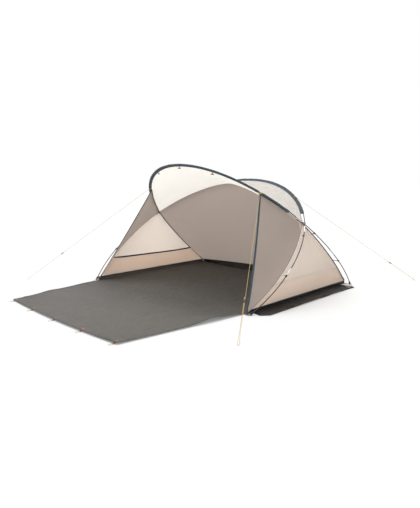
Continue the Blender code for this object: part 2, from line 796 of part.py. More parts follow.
def build_apron():
    """Fold-out front sheet, hinged along the floor's front edge, with loops for pegs."""
    root = FRONT_Y - TOUCH
    outline = [(APRON_ROOT_HALF, root), (-APRON_ROOT_HALF, root)]
    outline += [apron_edge(share) for share in evenly(0.0, 1.0, APRON_EDGE_STEPS)]
    pivot = (0.0, FRONT_Y - TOUCH / 2, GROUND_SHEET)
    apron = outline_solid("apron", outline, 0.0, GROUND_SHEET, "ground", pivot)
    for share in evenly(PEG_LOOP_MARGIN, 1.0 - PEG_LOOP_MARGIN, PEG_LOOPS - 1):
        apply_boolean(apron, loop_band(*apron_edge(share)), "UNION")


def loop_band(x, y):
    """A flat webbing loop that overlaps the apron's edge, with a slot for a peg."""
    half = PEG_LOOP_WIDTH / 2
    near = y + PEG_LOOP_BAND
    far = y - PEG_LOOP_LENGTH
    low = 0.0
    high = GROUND_SHEET + TOUCH
    band = PEG_LOOP_BAND
    outer = [(x - half, far), (x + half, far), (x + half, near), (x - half, near)]
    inner = [(x - half + band, far + band), (x + half - band, far + band),
             (x + half - band, y - band / 2), (x - half + band, y - band / 2)]
    points = [(px, py, z) for z in (low, high) for px, py in outer + inner]
    faces = []
    for j in range(4):
        a, b = j, (j + 1) % 4
        faces += [(a, b, 8 + b, 8 + a), (4 + a, 4 + b, 12 + b, 12 + a)]
        faces += [(a, b, 4 + b, 4 + a), (8 + a, 8 + b, 12 + b, 12 + a)]
    return add_solid("loop_band", points, faces, "toggle")


def beside_tub(y):
    """Where a ground strip meets the leaning side wall of the tub."""
    share = (y - FRONT_Y) / FLOOR_DEPTH
    edge = FLOOR_FRONT_HALF + (FLOOR_REAR_HALF - FLOOR_FRONT_HALF) * share
    return edge + TUB_LEAN * GROUND_SHEET / TUB_SIDE_RISE + TOUCH


def build_sand_flaps():
    """Ground strips outside the side walls, chamfered in front and folded at the rear."""
    front = FRONT_Y + FLAP_FRONT_CLEAR
    rear = REAR_Y - FLAP_REAR_CLEAR
    outer = FLOOR_FRONT_HALF + FLAP_WIDTH
    outline = [(beside_tub(front), front), (outer - FLAP_CHAMFER, front - FLAP_CHAMFER / 2),
               (outer, front + FLAP_CHAMFER / 2), (outer - FLAP_WAIST, rear - FLAP_WIDTH),
               (outer, rear), (beside_tub(rear), rear)]
    outline_solid("sand_flap_right", outline, 0.0, GROUND_SHEET, "ground")
    flipped = [(-x, y) for x, y in reversed(outline)]
    outline_solid("sand_flap_left", flipped, 0.0, GROUND_SHEET, "ground")


def build_anchors():
    """Webbing corner with a cup for the rod's end, at each of the four feet."""
    corners = (("front", REAR_HOOP, FLOOR_FRONT_HALF, FRONT_Y),
               ("rear", FRONT_HOOP, FLOOR_REAR_HALF, REAR_Y))
    for label, hoop, floor_half, floor_y in corners:
        arc = foot_arc(hoop)
        foot = hoop.point(arc)
        away = 1.0 if label == "rear" else -1.0
        corner = np.array([floor_half, floor_y])
        half = ANCHOR_WIDTH / 2
        inner_x = corner[0] + TOUCH + GROUND_SHEET / 2
        near_y = corner[1] + away * TOUCH * 2
        outline = [(inner_x, near_y - away * half), (inner_x, near_y + away * half / 2),
                   (foot[0] + half / 2, foot[1] + away * half / 2),
                   (foot[0] + half / 2, foot[1] - away * half / 2)]
        plate = outline_solid("anchor_" + label + "_right", outline, 0.0, ANCHOR_PLATE, "webbing")
        top = arc + ANCHOR_CUP_LENGTH
        cup = add_bar("cup", hoop, [(0.0, ANCHOR_CUP_RADIUS), (top, ANCHOR_CUP_RADIUS)], "webbing")
        apply_boolean(plate, cup, "UNION")
        fit = POLE_RADIUS + PLUG_FIT
        bore = add_bar("bore", hoop, [(arc - TOUCH, fit), (top, fit), (top + fit, fit)], "webbing")
        apply_boolean(plate, bore, "DIFFERENCE")
        corners_below = [(foot[0] + u * ANCHOR_TRIM, foot[1] + v * ANCHOR_TRIM)
                         for u, v in ((-1, -1), (1, -1), (1, 1), (-1, 1))]
        below = outline_solid("below", corners_below, -ANCHOR_TRIM, 0.0, "webbing")
        apply_boolean(plate, below, "DIFFERENCE")
        mesh = plate.data.copy()
        mesh.transform(Matrix.Scale(-1.0, 4, Vector((1.0, 0.0, 0.0))))
        mesh.flip_normals()
        add_object("anchor_" + label + "_left", mesh, "webbing")


def build_toggles():
    """Crossbars on short straps under the front hoop, which hold the apron up as a door."""
    arch = evenly(FRONT_GUY_ARC, FRONT_HOOP.length - FRONT_GUY_ARC, ARCH_STATIONS)
    for name, station in zip(TOGGLE_NAMES, TOGGLE_STATIONS):
        arc = arch[ARCH_STATIONS // 2 - station]
        seam = FRONT_HOOP.edge(arc, SLEEVE_REACH) + FRONT_HOOP.across * SLEEVE_TIP
        top = seam - UP * 2 * TOUCH
        bottom = top - UP * TOGGLE_STRAP
        tangent = FRONT_HOOP.tangent(arc)
        along = unit(tangent * np.array([1.0, 1.0, 0.0]))
        bar = cylinder(name, bottom - along * TOGGLE_LENGTH / 2, bottom + along * TOGGLE_LENGTH / 2,
                       TOGGLE_RADIUS, BAR_SIDES, "toggle")
        strap = slab(top, bottom, tangent, TOGGLE_STRAP_WIDTH, TOGGLE_STRAP_THICKNESS)
        apply_boolean(bar, strap, "UNION")
        bar.data.transform(Matrix.Translation(-Vector(top)))
        bar.location = Vector(top)


def slab(top, bottom, along, width, thickness):
    """A thin strap between two points."""
    down = unit(bottom - top)
    across = unit(np.cross(along, down))
    points = []
    for end in (top, bottom):
        for u, v in ((-1, -1), (1, -1), (1, 1), (-1, 1)):
            points.append(end + along * u * width / 2 + across * v * thickness / 2)
    faces = [(0, 1, 2, 3), (7, 6, 5, 4)]
    faces += [(j, (j + 1) % 4, 4 + (j + 1) % 4, 4 + j) for j in range(4)]
    return add_solid("strap", points, faces, "toggle")


def rod_radius(hoop, arc):
    """Radius of a rod at an arc: thicker where a ferrule covers it."""
    near = min(abs(arc - cut) for cut in section_cuts(hoop)[1:-1])
    return FERRULE_RADIUS if near < FERRULE_LENGTH / 2 else POLE_RADIUS


def guy_lines():
    """Name, start at the rod and ground end of each guy line."""
    ground = CORD_RADIUS + TOUCH
    lines = (("front_left", FRONT_HOOP, FRONT_GUY_ARC, GUY_FRONT_LEFT_END, True),
             ("front_right", FRONT_HOOP, FRONT_GUY_ARC, GUY_FRONT_RIGHT_END, False),
             ("rear_right", REAR_HOOP, REAR_GUY_ARC, GUY_REAR_END, False),
             ("rear_left", REAR_HOOP, REAR_GUY_ARC, (-GUY_REAR_END[0], GUY_REAR_END[1]), True))
    placed = []
    for label, hoop, arc, foot, flip in lines:
        side = MIRROR if flip else np.ones(3)
        tie = hoop.point(arc) * side
        end = np.array([*foot, ground])
        down = unit(end - tie)
        slant = abs(float(down @ (hoop.tangent(arc) * side)))
        clear = rod_radius(hoop, arc) + TOUCH + CORD_RADIUS * slant
        placed.append((label, tie + down * clear / math.sqrt(1 - slant ** 2), end))
    return placed


def guy_frame(start, end):
    """Downward direction and sideways direction of a guy line."""
    down = unit(end - start)
    return down, unit(np.cross(down, UP))


def guy_route(start, end, runner):
    """Down from the rod through the runner, round the ground loop and back up to the runner."""
    down, side = guy_frame(start, end)
    length = float((end - start) @ down)
    lead = [place for place in evenly(0.0, length, CORD_STATIONS) if place < length - CORD_LEAD]
    route = [start + down * place for place in lead]
    route.append(end - down * CORD_LEAD)
    centre = end - down * CORD_LOOP_RADIUS + side * CORD_PITCH / 2
    for angle in evenly(0.0, math.pi, LOOP_STEPS):
        swing = -side * math.cos(angle) * CORD_LOOP_RADIUS
        route.append(centre + swing + down * math.sin(angle) * CORD_LOOP_RADIUS)
    top = runner + RUNNER_LENGTH / 2 + TAIL_LENGTH
    for back in evenly(CORD_LEAD, top, RETURN_STEPS):
        route.append(end - down * back + side * CORD_PITCH)
    return route


def build_guy_lines():
    for label, start, end in guy_lines():
        runner = RUNNER_FROM_GROUND[label]
        route = guy_route(start, end, runner)
        curve = bpy.data.curves.new("guy_line_" + label, "CURVE")
        curve.dimensions = "3D"
        curve.bevel_depth = CORD_RADIUS
        curve.bevel_resolution = 2
        curve.use_fill_caps = True
        spline = curve.splines.new("POLY")
        spline.points.add(len(route) - 1)
        for point, place in zip(spline.points, route):
            point.co = (*place, 1.0)
        add_object("guy_line_" + label, curve, "cord")
        build_runner(label, start, end, runner)


def build_runner(label, start, end, runner):
    """A flat two-hole runner that slides along its line."""
    down, side = guy_frame(start, end)
    middle = end - down * runner + side * CORD_PITCH / 2
    up = np.cross(side, down)
    points = []
    for shift, taper in RUNNER_TAPERS:
        for u, v in RUNNER_SECTION:
            points.append(middle + down * shift * RUNNER_LENGTH + side * u * taper * RUNNER_WIDTH / 2
                          + up * v * taper * RUNNER_THICKNESS / 2)
    sides = len(RUNNER_SECTION)
    last = len(points) - sides
    faces = band_faces(len(RUNNER_TAPERS), sides, False)
    faces += [tuple(range(sides)), tuple(range(last, last + sides))]
    body = add_solid("runner_" + label, points, faces, "plastic")
    for shift in (0.0, CORD_PITCH):
        centre = end - down * runner + side * shift
        hole = cylinder("hole", centre - down * RUNNER_LENGTH, centre + down * RUNNER_LENGTH,
                        CORD_RADIUS + RUNNER_FIT, BAR_SIDES, "plastic")
        apply_boolean(body, hole, "DIFFERENCE")
    body.data.transform(Matrix.Translation(-Vector(middle)))
    body.location = Vector(middle)


def main():
    clear_scene()
    build_ceiling()
    build_back_wall()
    build_sides()
    build_pockets()
    build_sleeves()
    build_poles()
    build_clips()
    build_tub_floor()
    build_apron()
    build_sand_flaps()
    build_anchors()
    build_toggles()
    build_guy_lines()


main()
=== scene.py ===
import math

import bpy
import numpy as np
from mathutils import Matrix, Vector


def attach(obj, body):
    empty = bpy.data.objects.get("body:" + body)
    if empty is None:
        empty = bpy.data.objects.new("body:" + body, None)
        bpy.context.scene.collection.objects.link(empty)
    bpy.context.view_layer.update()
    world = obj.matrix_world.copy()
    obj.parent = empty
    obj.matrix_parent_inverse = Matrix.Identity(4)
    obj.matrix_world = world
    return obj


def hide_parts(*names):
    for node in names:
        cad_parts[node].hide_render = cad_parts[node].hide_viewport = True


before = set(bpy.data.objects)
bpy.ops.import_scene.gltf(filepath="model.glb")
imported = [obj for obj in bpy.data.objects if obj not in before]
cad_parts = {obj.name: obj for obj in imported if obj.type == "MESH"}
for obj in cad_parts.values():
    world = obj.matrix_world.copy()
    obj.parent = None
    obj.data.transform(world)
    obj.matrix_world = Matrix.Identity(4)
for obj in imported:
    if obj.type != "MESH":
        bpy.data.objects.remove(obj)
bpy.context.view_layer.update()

# Sizes in metres, the same as the solids have
TOUCH = 0.0003
FLOOR_DEPTH = 1.62
FLOOR_FRONT_HALF = 1.00
FLOOR_REAR_HALF = 0.985
TUB_SIDE_RISE = 0.035
TUB_LEAN = 0.012
TUB_REAR_RISE = 0.060
TUB_REAR_BOW = 0.100
FRONT_HOOP_HEIGHT, FRONT_HOOP_REACH = 1.200, 1.417
FRONT_FEET_HALF, FRONT_HOOP_HALF_WIDTH = 1.043, 1.090
REAR_HOOP_HEIGHT, REAR_HOOP_REACH = 1.052, 1.300
REAR_FEET_HALF, REAR_HOOP_HALF_WIDTH = 1.034, 1.14002456
FRONT_HOOP_SETBACK = 0.015
POLE_RADIUS = 0.00425
FERRULE_RADIUS = 0.0055
FERRULE_LENGTH = 0.075
FRONT_END_SECTION = 0.600
REAR_END_SECTION = 0.517
SECTIONS = 9
SLEEVE_REACH = 0.026
SLEEVE_TIP = 0.0012
SLEEVE_BREAK = 0.030
FRONT_GUY_ARC, FRONT_SLEEVE_END_ARC = 1.560, 1.245
REAR_GUY_ARC, REAR_SLEEVE_END_ARC = 1.575, 1.270
CROSSING_TUCK = 0.020
FRONT_LEG_BOW = 0.020
REAR_LEG_BOW = 0.012
WING_EDGE_SAG = 0.020
LEG_STATIONS = 8
GUY_STATIONS = 5
ARCH_STATIONS = 18
REAR_STATIONS = 12
PANEL_ROWS = 8
CEILING_DRAW = 2.2
POCKET_HEM_HEIGHT = 0.207
APRON_LENGTH_LEFT = 1.035
APRON_LENGTH_RIGHT = 1.165
APRON_BULGE = 0.035
APRON_ROOT_HALF = 0.982
APRON_TIP_HALF = 0.835
FLAP_WIDTH = 0.160
FLAP_CLEAR = 0.080
FLAP_CHAMFER = 0.060
PEG_LOOPS = 5
PEG_LOOP_MARGIN = 0.02
CLIP_WALL = 0.0025
CLIP_LENGTH = 0.022
CLIP_MOUTH = 50.0
REAR_HOOP_CLIP_ARCS = (0.467, 0.950)
FRONT_HOOP_CLIP_ARCS = (0.450, 0.905)
ANCHOR_CUP_RADIUS = 0.0085
ANCHOR_CUP_LENGTH = 0.030
ANCHOR_WIDTH = 0.044
ANCHOR_PLATE = 0.0020
TOGGLE_STRAP = 0.016
TOGGLE_LENGTH = 0.034
TOGGLE_RADIUS = 0.0045
CORD_RADIUS = 0.0015
CORD_PITCH = 0.0055
CORD_LOOP_RADIUS = 0.0075
CORD_STATIONS = 10
CORD_LEAD = 0.100
LOOP_STEPS = 8
RETURN_STEPS = 5
RUNNER_LENGTH = 0.030
RUNNER_WIDTH = 0.016
RUNNER_THICKNESS = 0.0085
RUNNER_FIT = 0.0005
TAIL_LENGTH = 0.018

# Sizes of what only the scene has
CANOPY_THICKNESS = 0.0010
SHEET_THICKNESS = 0.0012
WIDE_TAPE_WIDTH, SEAM_TAPE_WIDTH, POCKET_TAPE_WIDTH, APRON_HEM_WIDTH = 0.020, 0.010, 0.016, 0.013
PIPING_RADIUS, SHOULDER_PIPING_RADIUS, TUB_SEAM_RADIUS = 0.0052, 0.0046, 0.0032
SIDE_SEAM_RADIUS, CEILING_SEAM_RADIUS = 0.0024, 0.0022
STRIP_START, STRIP_CORNER, STRIP_LEG = 0.006, 0.036, 0.10
STRIP_SEAM, STRIP_LIFT = 0.002, 0.0014
WEBBING_THICKNESS, STRAP_THICKNESS, BAND_THICKNESS = 0.0012, 0.0016, 0.0014
EDGE_TAPE_THICKNESS, HEM_TAPE_THICKNESS, APRON_HEM_THICKNESS = 0.0030, 0.0028, 0.0022
CLIP_BAR_RADIUS, FLAP_FOLD_LEVELS = 0.0042, (0.0085, 0.0100)
CUP_START, CUP_CLEARANCE, PLATE_LEVELS = 0.0125, 0.0004, (0.0002, 0.0022)
TIE_SHIFT, KEEPER_SHIFT, HITCH_RADIUS, HITCH_CORD_RADIUS = 0.0032, 0.011, 0.0029, 0.0014
CROSSING_STRAP_WIDTH, CROSSING_STRAP_HALF = 0.016, 0.0125
CLIP_STRAP_WIDTH, TOGGLE_STRAP_WIDTH, KEEPER_WIDTH, GUY_TAB_WIDTH = 0.014, 0.0085, 0.0065, 0.026
PEG_TAB_WIDTH, PEG_CORD_RADIUS = 0.022, 0.0018
EYELET_RADIUS, EYELET_WIRE = 0.0095, 0.0013
KNOT_SIZE, KNOT_CORD_RADIUS = 0.0011, 0.00135
SLEEVE_RADIUS, SLEEVE_PUCKER, SLEEVE_HEM = 0.0078, 0.0009, 0.0007
SLEEVE_EDGE_HALF, SLEEVE_GAP_HALF, SLEEVE_WALL = 0.0011, 0.00035, 0.0009
TUB_FOOT_LEVEL, TUB_BULGE = 0.001, 0.004
POCKET_GAP, POCKET_BAG = 0.0026, 0.011
STITCH_MARGIN, STITCH_PITCH, STITCH_HALF = 0.0022, 0.0035, 0.0005
EDGE_DRAW_IN = 0.003

# How finely shapes are made
HOOP_SAMPLES, NOISE_CELLS = 4001, 64
RELAX_PASSES, EASE_PASSES = 1500, 40
SLEEVE_STEP, ROD_STEP = 0.012, 0.02
CEILING_FINER, SIDE_FINER, WING_FINER, RIM_FINER = 8, 9, 12, 12
FLOOR_COLUMNS, FLOOR_ROWS, RIM_STEPS = 180, 140, 110
APRON_COLUMNS, APRON_ROWS, FLAP_COLUMNS, FLAP_ROWS = 220, 170, 32, 140
CORNER_STEPS, ROUND_SIDES, SEAM_SIDES = 4, 14, 8
SHARP_ANGLE = 50.0

# Light and camera
STAGE_HALF, STAGE_LEVEL = 30.0, -0.0012
STAGE_WHITE, STAGE_SEEN, STAGE_GLOW = 0.97, 0.58, 0.20
SKY_LEVEL = 1.0
SUN_FROM, SUN_STRENGTH, SUN_SPREAD = (-0.42, 0.12, 1.0), 1.6, 40.0
CAMERA_AT, CAMERA_AZIMUTH, CAMERA_PITCH, CAMERA_LENS = (3.600, -4.055, 1.150), 42.7, 8.97, 37.70

FRONT_Y, REAR_Y = -FLOOR_DEPTH / 2, FLOOR_DEPTH / 2
SIDEWAYS, AHEAD, UP = np.eye(3)
MIRROR = np.array([-1.0, 1.0, 1.0])
SIDES = (("right", np.ones(3)), ("left", MIRROR))
TURN = 2 * math.pi


def unit(vector):
    return vector / np.linalg.norm(vector, axis=-1, keepdims=True)


def smooth(value):
    value = np.clip(value, 0.0, 1.0)
    return value * value * (3 - 2 * value)


def shares(steps):
    return np.linspace(0.0, 1.0, steps + 1)


def turns(count, start=0.0):
    return start + np.linspace(0.0, TURN, count, endpoint=False)


def running_sum(steps):
    return np.concatenate([[0.0], np.cumsum(steps)])


def lengths_along(points):
    return running_sum(np.linalg.norm(np.diff(points, axis=0), axis=1))


def points_at(places, along, points):
    """Points read off a run of them at the given places along it."""
    return np.stack([np.interp(places, along, axis) for axis in points.T], 1)


# Materials
def linear(*srgb):
    """Scene-linear colour of an sRGB one given from 0 to 255."""
    values = np.array(srgb) / 255
    values = np.where(values <= 0.04045, values / 12.92, ((values + 0.055) / 1.055) ** 2.4)
    return (*values.tolist(), 1.0)


def shade(colour, factor):
    return (*(float(value) * factor for value in colour[:3]), 1.0)


def join(tree, source, target):
    """Link a socket to the target, or set a constant on the target's own socket."""
    if hasattr(source, "links"):
        tree.links.new(source, target)
    else:
        target.default_value = source


def add_node(tree, kind, *sources, named=(), **settings):
    """A new node; sources go to its inputs in order, and those in named to the inputs of that name."""
    made = tree.nodes.new("ShaderNode" + kind)
    for key, value in settings.items():
        setattr(made, key, value)
    for source, target in zip(sources, made.inputs):
        join(tree, source, target)
    for key, source in dict(named).items():
        join(tree, source, made.inputs[key])
    return made


class Finish:
    """A node material, built up socket by socket."""

    def __init__(self, name, roughness, **constants):
        self.material = bpy.data.materials.new(name)
        self.material.use_nodes = True
        self.tree = self.material.node_tree
        self.shader = self.tree.nodes["Principled BSDF"]
        for key, value in {"Roughness": roughness, **constants}.items():
            self.shader.inputs[key.replace("_", " ")].default_value = value
        self.object = self.node("TexCoord").outputs["Object"]
        self.along, self.across, _ = self.split(self.node("UVMap", uv_map="grain").outputs["UV"])
        self.height = None

    def node(self, kind, *sources, **settings):
        return add_node(self.tree, kind, *sources, **settings)

    def split(self, vector):
        return self.node("SeparateXYZ", vector).outputs

    def math(self, operation, a, *others):
        return self.node("Math", a, *others, operation=operation).outputs[0]

    def noise(self, scale, detail=2.0, stretch=None, distortion=0.0, rough=0.5):
        source = self.object
        if stretch is not None:
            source = self.node("Mapping", source, named={"Scale": stretch}).outputs[0]
        settings = {"Scale": scale, "Detail": detail, "Roughness": rough, "Distortion": distortion}
        return self.node("TexNoise", source, named=settings).outputs[0]

    def tones(self, factor, colour, *stops):
        """A ramp over shades of one colour, each given as its place and its level."""
        made = self.node("ValToRGB", factor)
        slots = made.color_ramp.elements
        while len(slots) < len(stops):
            slots.new(0.5)
        for slot, (place, level) in zip(slots, stops):
            slot.position = place
            slot.color = shade(colour, level)
        return made.outputs[0]

    def mix(self, factor, a, b):
        made = self.node("Mix", factor, data_type="RGBA")
        join(self.tree, a, made.inputs[6])
        join(self.tree, b, made.inputs[7])
        return made.outputs[2]

    def wave(self, coordinate, pitch):
        """From 0 to 1 and back once in each pitch along a coordinate in metres."""
        turned = self.math("MULTIPLY", coordinate, TURN / pitch)
        return self.math("MULTIPLY_ADD", self.math("SINE", turned), 0.5, 0.5)

    def raise_by(self, amount, metres):
        part = self.math("MULTIPLY", amount, metres)
        self.height = part if self.height is None else self.math("ADD", self.height, part)

    def colour(self, socket):
        join(self.tree, socket, self.shader.inputs["Base Color"])

    def roughness(self, factor, low, high):
        spread = self.math("MULTIPLY_ADD", factor, high - low, low)
        join(self.tree, spread, self.shader.inputs["Roughness"])

    def weave(self, pitch, depth):
        crossed = self.math("MULTIPLY", self.wave(self.along, pitch), self.wave(self.across, pitch))
        self.raise_by(crossed, depth)

    def band(self, coordinate, centre, half):
        """1 within a half width of a centre line, else 0."""
        away = self.math("ABSOLUTE", self.math("SUBTRACT", coordinate, centre))
        return self.math("LESS_THAN", away, half)

    def stitches(self, near, far):
        """Two rows of thread dashes that run along, at the given places across."""
        dash = self.math("GREATER_THAN", self.wave(self.along, STITCH_PITCH), 0.35)
        rows = self.math("MAXIMUM", *(self.band(self.across, at, STITCH_HALF) for at in (near, far)))
        thread = self.math("MULTIPLY", rows, dash)
        self.raise_by(rows, -0.0002)
        self.raise_by(thread, 0.0004)
        return thread

    def lit_through(self, colour, share):
        """Add the light that passes the cloth, as a colour and a share."""
        behind = self.node("BsdfTranslucent", colour)
        both = self.node("MixShader", share, self.shader.outputs[0], behind.outputs[0])
        join(self.tree, both.outputs[0], self.tree.nodes["Material Output"].inputs["Surface"])

    def done(self):
        """Close the material with the bump that its heights make."""
        bump = self.node("Bump", named={"Distance": 1.0, "Height": self.height})
        join(self.tree, bump.outputs[0], self.shader.inputs["Normal"])
        return self.material


def canopy_cloth(name, back, through, sheen=0.06):
    """Thin coated polyester: fine plain weave, faint slubs, packing creases and uneven dye.

    back and through are the shares of light, red to blue, that the whole cloth sends back and lets
    through. A ray meets the closed sheet's two faces, so each face gets its part of both.
    """
    back, through = np.array(back), np.array(through)
    face_back = back / (1 + through)
    face_through = np.sqrt(through * (1 - face_back ** 2))
    share = float(face_through.max() / (face_through.max() + face_back.max()))
    made = Finish(name, 0.72, Sheen_Weight=sheen, Sheen_Roughness=0.45, Specular_IOR_Level=0.3)
    soft = made.noise(2.2, 3.0)
    slub = made.noise(160.0, 1.0, stretch=(1.0, 0.12, 0.12))
    mixed = made.math("MULTIPLY_ADD", slub, 0.22, made.math("MULTIPLY", soft, 0.78))
    made.colour(made.tones(mixed, face_back / (1 - share), (0.30, 0.94), (0.5, 1.0), (0.70, 1.04)))
    made.weave(0.0007, 0.00008)
    made.raise_by(made.noise(9.0, 4.0, distortion=1.2, rough=0.55), 0.0022)
    made.roughness(soft, 0.64, 0.82)
    made.lit_through((*(face_through / share).tolist(), 1.0), share)
    return made.done()


def binding_tape(name, colour, width=SEAM_TAPE_WIDTH):
    """Folded edge tape with a row of stitches near each edge."""
    made = Finish(name, 0.8, Sheen_Weight=0.1)
    made.raise_by(made.wave(made.along, 0.0012), 0.00015)
    thread = made.stitches(STITCH_MARGIN, width - STITCH_MARGIN)
    uneven = made.noise(40.0, 3.0)
    base = made.tones(uneven, colour, (0.3, 0.8), (0.7, 1.2))
    made.colour(made.mix(thread, base, shade(colour, 2.2)))
    made.roughness(uneven, 0.7, 0.9)
    return made.done()


def sleeve_cloth(name, colour):
    """Tougher ripstop of the pole sleeves, stitched down beside the rod."""
    made = Finish(name, 0.66, Sheen_Weight=0.15, Sheen_Roughness=0.4)
    made.weave(0.0009, 0.0001)
    ribs = (made.math("GREATER_THAN", made.wave(way, 0.006), 0.96) for way in (made.along, made.across))
    grid = made.math("MAXIMUM", *ribs)
    made.raise_by(grid, 0.0001)
    pucker = made.noise(34.0, 3.0, distortion=0.8)
    made.raise_by(pucker, 0.0018)
    base = made.tones(made.noise(6.0, 3.0), colour, (0.3, 0.82), (0.5, 1.0), (0.72, 1.25))
    made.colour(made.mix(made.math("MULTIPLY", grid, 0.5), base, shade(colour, 1.5)))
    made.roughness(pucker, 0.55, 0.78)
    return made.done()


def ground_cloth(name, colour, shine, dust, painted_mouth_shade=False, crease_lines_and_glints=0.18):
    """Coated woven groundsheet: crossed tapes, crumples, pale lines that are partly whitened creases and
    partly painted highlight, and a little dust.

    With that flag set, the cloth gets painted shade: darkest at the tent's mouth, where the canopy shades
    it, and paler outwards.
    """
    made = Finish(name, shine, Specular_IOR_Level=0.28)
    made.raise_by(made.math("ADD", made.wave(made.along, 0.004), made.wave(made.across, 0.004)), 0.00008)
    crumple = made.noise(7.0, 5.0, distortion=1.6, rough=0.6)
    made.raise_by(crumple, 0.0110)
    made.raise_by(made.noise(26.0, 4.0, distortion=2.0), 0.0034)
    place = made.noise(1.6, 4.0)
    stops = (0.3, 0.90), (0.5, 1.0), (0.72, 1.08)
    # Painted shade: the canopy's shade near the tent's mouth, fading out over the apron
    if painted_mouth_shade:
        outwards = made.math("MULTIPLY_ADD", made.split(made.object)[1], -1.4, 1.4 * FRONT_Y)
        place = made.math("MULTIPLY_ADD", made.math("SUBTRACT", place, 0.5), 0.4, outwards)
        stops = (0.0, 0.76), (0.15, 0.82), (0.5, 1.05), (0.9, 1.25)
    # Pale lines: partly whitened creases, partly painted highlight standing in for the light on the
    # crumples
    lines = made.band(made.noise(5.0, 3.0, distortion=2.2), 0.5, 0.010)
    creased = made.mix(made.math("MULTIPLY", lines, crease_lines_and_glints), made.tones(place, colour, *stops),
                       shade(colour, 2.2))
    specks = made.math("GREATER_THAN", made.noise(420.0, 1.0), 0.735)
    made.colour(made.mix(made.math("MULTIPLY", specks, dust), creased, linear(196, 186, 168)))
    made.roughness(crumple, shine - 0.08, shine + 0.14)
    return made.done()


def woven_tape(name, *srgb):
    """Narrow webbing with a chevron weave."""
    made, colour = Finish(name, 0.78, Sheen_Weight=0.15), linear(*srgb)
    fold = made.math("ABSOLUTE", made.math("SUBTRACT", made.wave(made.across, 0.012), 0.5))
    rib = made.wave(made.math("MULTIPLY_ADD", fold, 0.004, made.along), 0.0016)
    made.raise_by(rib, 0.0003)
    worn = made.noise(60.0, 3.0)
    base = made.tones(worn, colour, (0.3, 0.8), (0.7, 1.15))
    made.colour(made.mix(made.math("MULTIPLY", rib, 0.35), base, shade(colour, 0.55)))
    made.roughness(worn, 0.68, 0.88)
    return made.done()


def moulded_plastic(name, *srgb):
    """Matt moulded plastic with a fine spark-eroded grain and rubbed edges."""
    made = Finish(name, 0.42, Specular_IOR_Level=0.4)
    made.raise_by(made.noise(900.0, 2.0), 0.00004)
    rubbed = made.noise(70.0, 3.0)
    made.colour(made.tones(rubbed, linear(*srgb), (0.35, 1.0), (0.75, 1.9)))
    made.roughness(rubbed, 0.34, 0.56)
    return made.done()


def glass_fibre(name, *srgb):
    """Pultruded rod: glossy resin over long fibres, with scuffs from its sleeve."""
    made = Finish(name, 0.36, Coat_Weight=0.10, Coat_Roughness=0.2)
    fibres = made.noise(500.0, 2.0, stretch=(1.0, 0.05, 0.05))
    scuffs = made.noise(30.0, 4.0, distortion=1.0)
    base = made.tones(fibres, linear(*srgb), (0.35, 0.7), (0.65, 1.5))
    made.colour(made.mix(made.math("MULTIPLY", scuffs, 0.08), base, linear(120, 116, 110)))
    made.roughness(scuffs, 0.22, 0.48)
    made.raise_by(fibres, 0.00003)
    return made.done()


def ferrule_steel(name, *srgb):
    """Drawn steel tube with lengthwise draw marks and a faint tarnish."""
    made = Finish(name, 0.28, Metallic=1.0)
    tarnish = made.noise(45.0, 3.0)
    made.colour(made.tones(tarnish, linear(*srgb), (0.3, 0.8), (0.7, 1.0)))
    made.roughness(tarnish, 0.22, 0.42)
    made.raise_by(made.noise(700.0, 2.0, stretch=(1.0, 0.04, 0.04)), 0.00004)
    return made.done()


def braided_cord(name, own_frame=False):
    """Braided gold line with a diamond of strands and a darker tracer thread."""
    made, colour = Finish(name, 0.7, Sheen_Weight=0.2), linear(204, 180, 108)
    if own_frame:
        x, y, made.along = made.split(made.object)
        made.across = made.math("ADD", x, y)
    one, two = (made.wave(made.math(way, made.along, made.across), 0.0024) for way in ("ADD", "SUBTRACT"))
    made.raise_by(made.math("MULTIPLY", one, two), 0.0004)
    fuzz = made.noise(120.0, 2.0)
    base = made.tones(fuzz, colour, (0.3, 0.86), (0.7, 1.06))
    made.colour(made.mix(made.math("GREATER_THAN", one, 0.93), base, linear(136, 108, 50)))
    made.roughness(fuzz, 0.6, 0.82)
    return made.done()


PETROL = linear(50, 64, 74)
GROUND = linear(78, 75, 71)

CREAM_CLOTH = canopy_cloth("cream_cloth", (0.475, 0.461, 0.436), (0.515, 0.497, 0.460), 0.0)
TAUPE_CLOTH = canopy_cloth("taupe_cloth", (0.276, 0.233, 0.206), (0.190, 0.159, 0.140))
BEIGE_CLOTH = canopy_cloth("beige_cloth", (0.450, 0.392, 0.344), (0.505, 0.443, 0.390))
POCKET_CLOTH = canopy_cloth("pocket_cloth", (0.44, 0.384, 0.342), (0.555, 0.482, 0.427))
SLEEVE_CLOTH = sleeve_cloth("petrol_sleeve_cloth", PETROL)
WIDE_TAPE = binding_tape("petrol_edge_tape", PETROL, WIDE_TAPE_WIDTH)
NARROW_TAPE = binding_tape("petrol_hem_tape", shade(PETROL, 0.45))
PIPING = binding_tape("dark_seam_piping", linear(44, 41, 41))
TAUPE_TAPE = binding_tape("taupe_seam_tape", shade(linear(150, 138, 129), 0.7))
DARK_TAPE = binding_tape("dark_edge_tape", linear(58, 56, 54))
# Apron cloth with painted shade at the tent's mouth
APRON_CLOTH = ground_cloth("groundsheet_apron", GROUND, 0.58, 0.05, True)
# Cabin floor: the apron's cloth, darkened as painted shade for the shade under the canopy
SHADED_FLOOR_CLOTH = ground_cloth("groundsheet", shade(GROUND, 0.86), 0.58, 0.04)
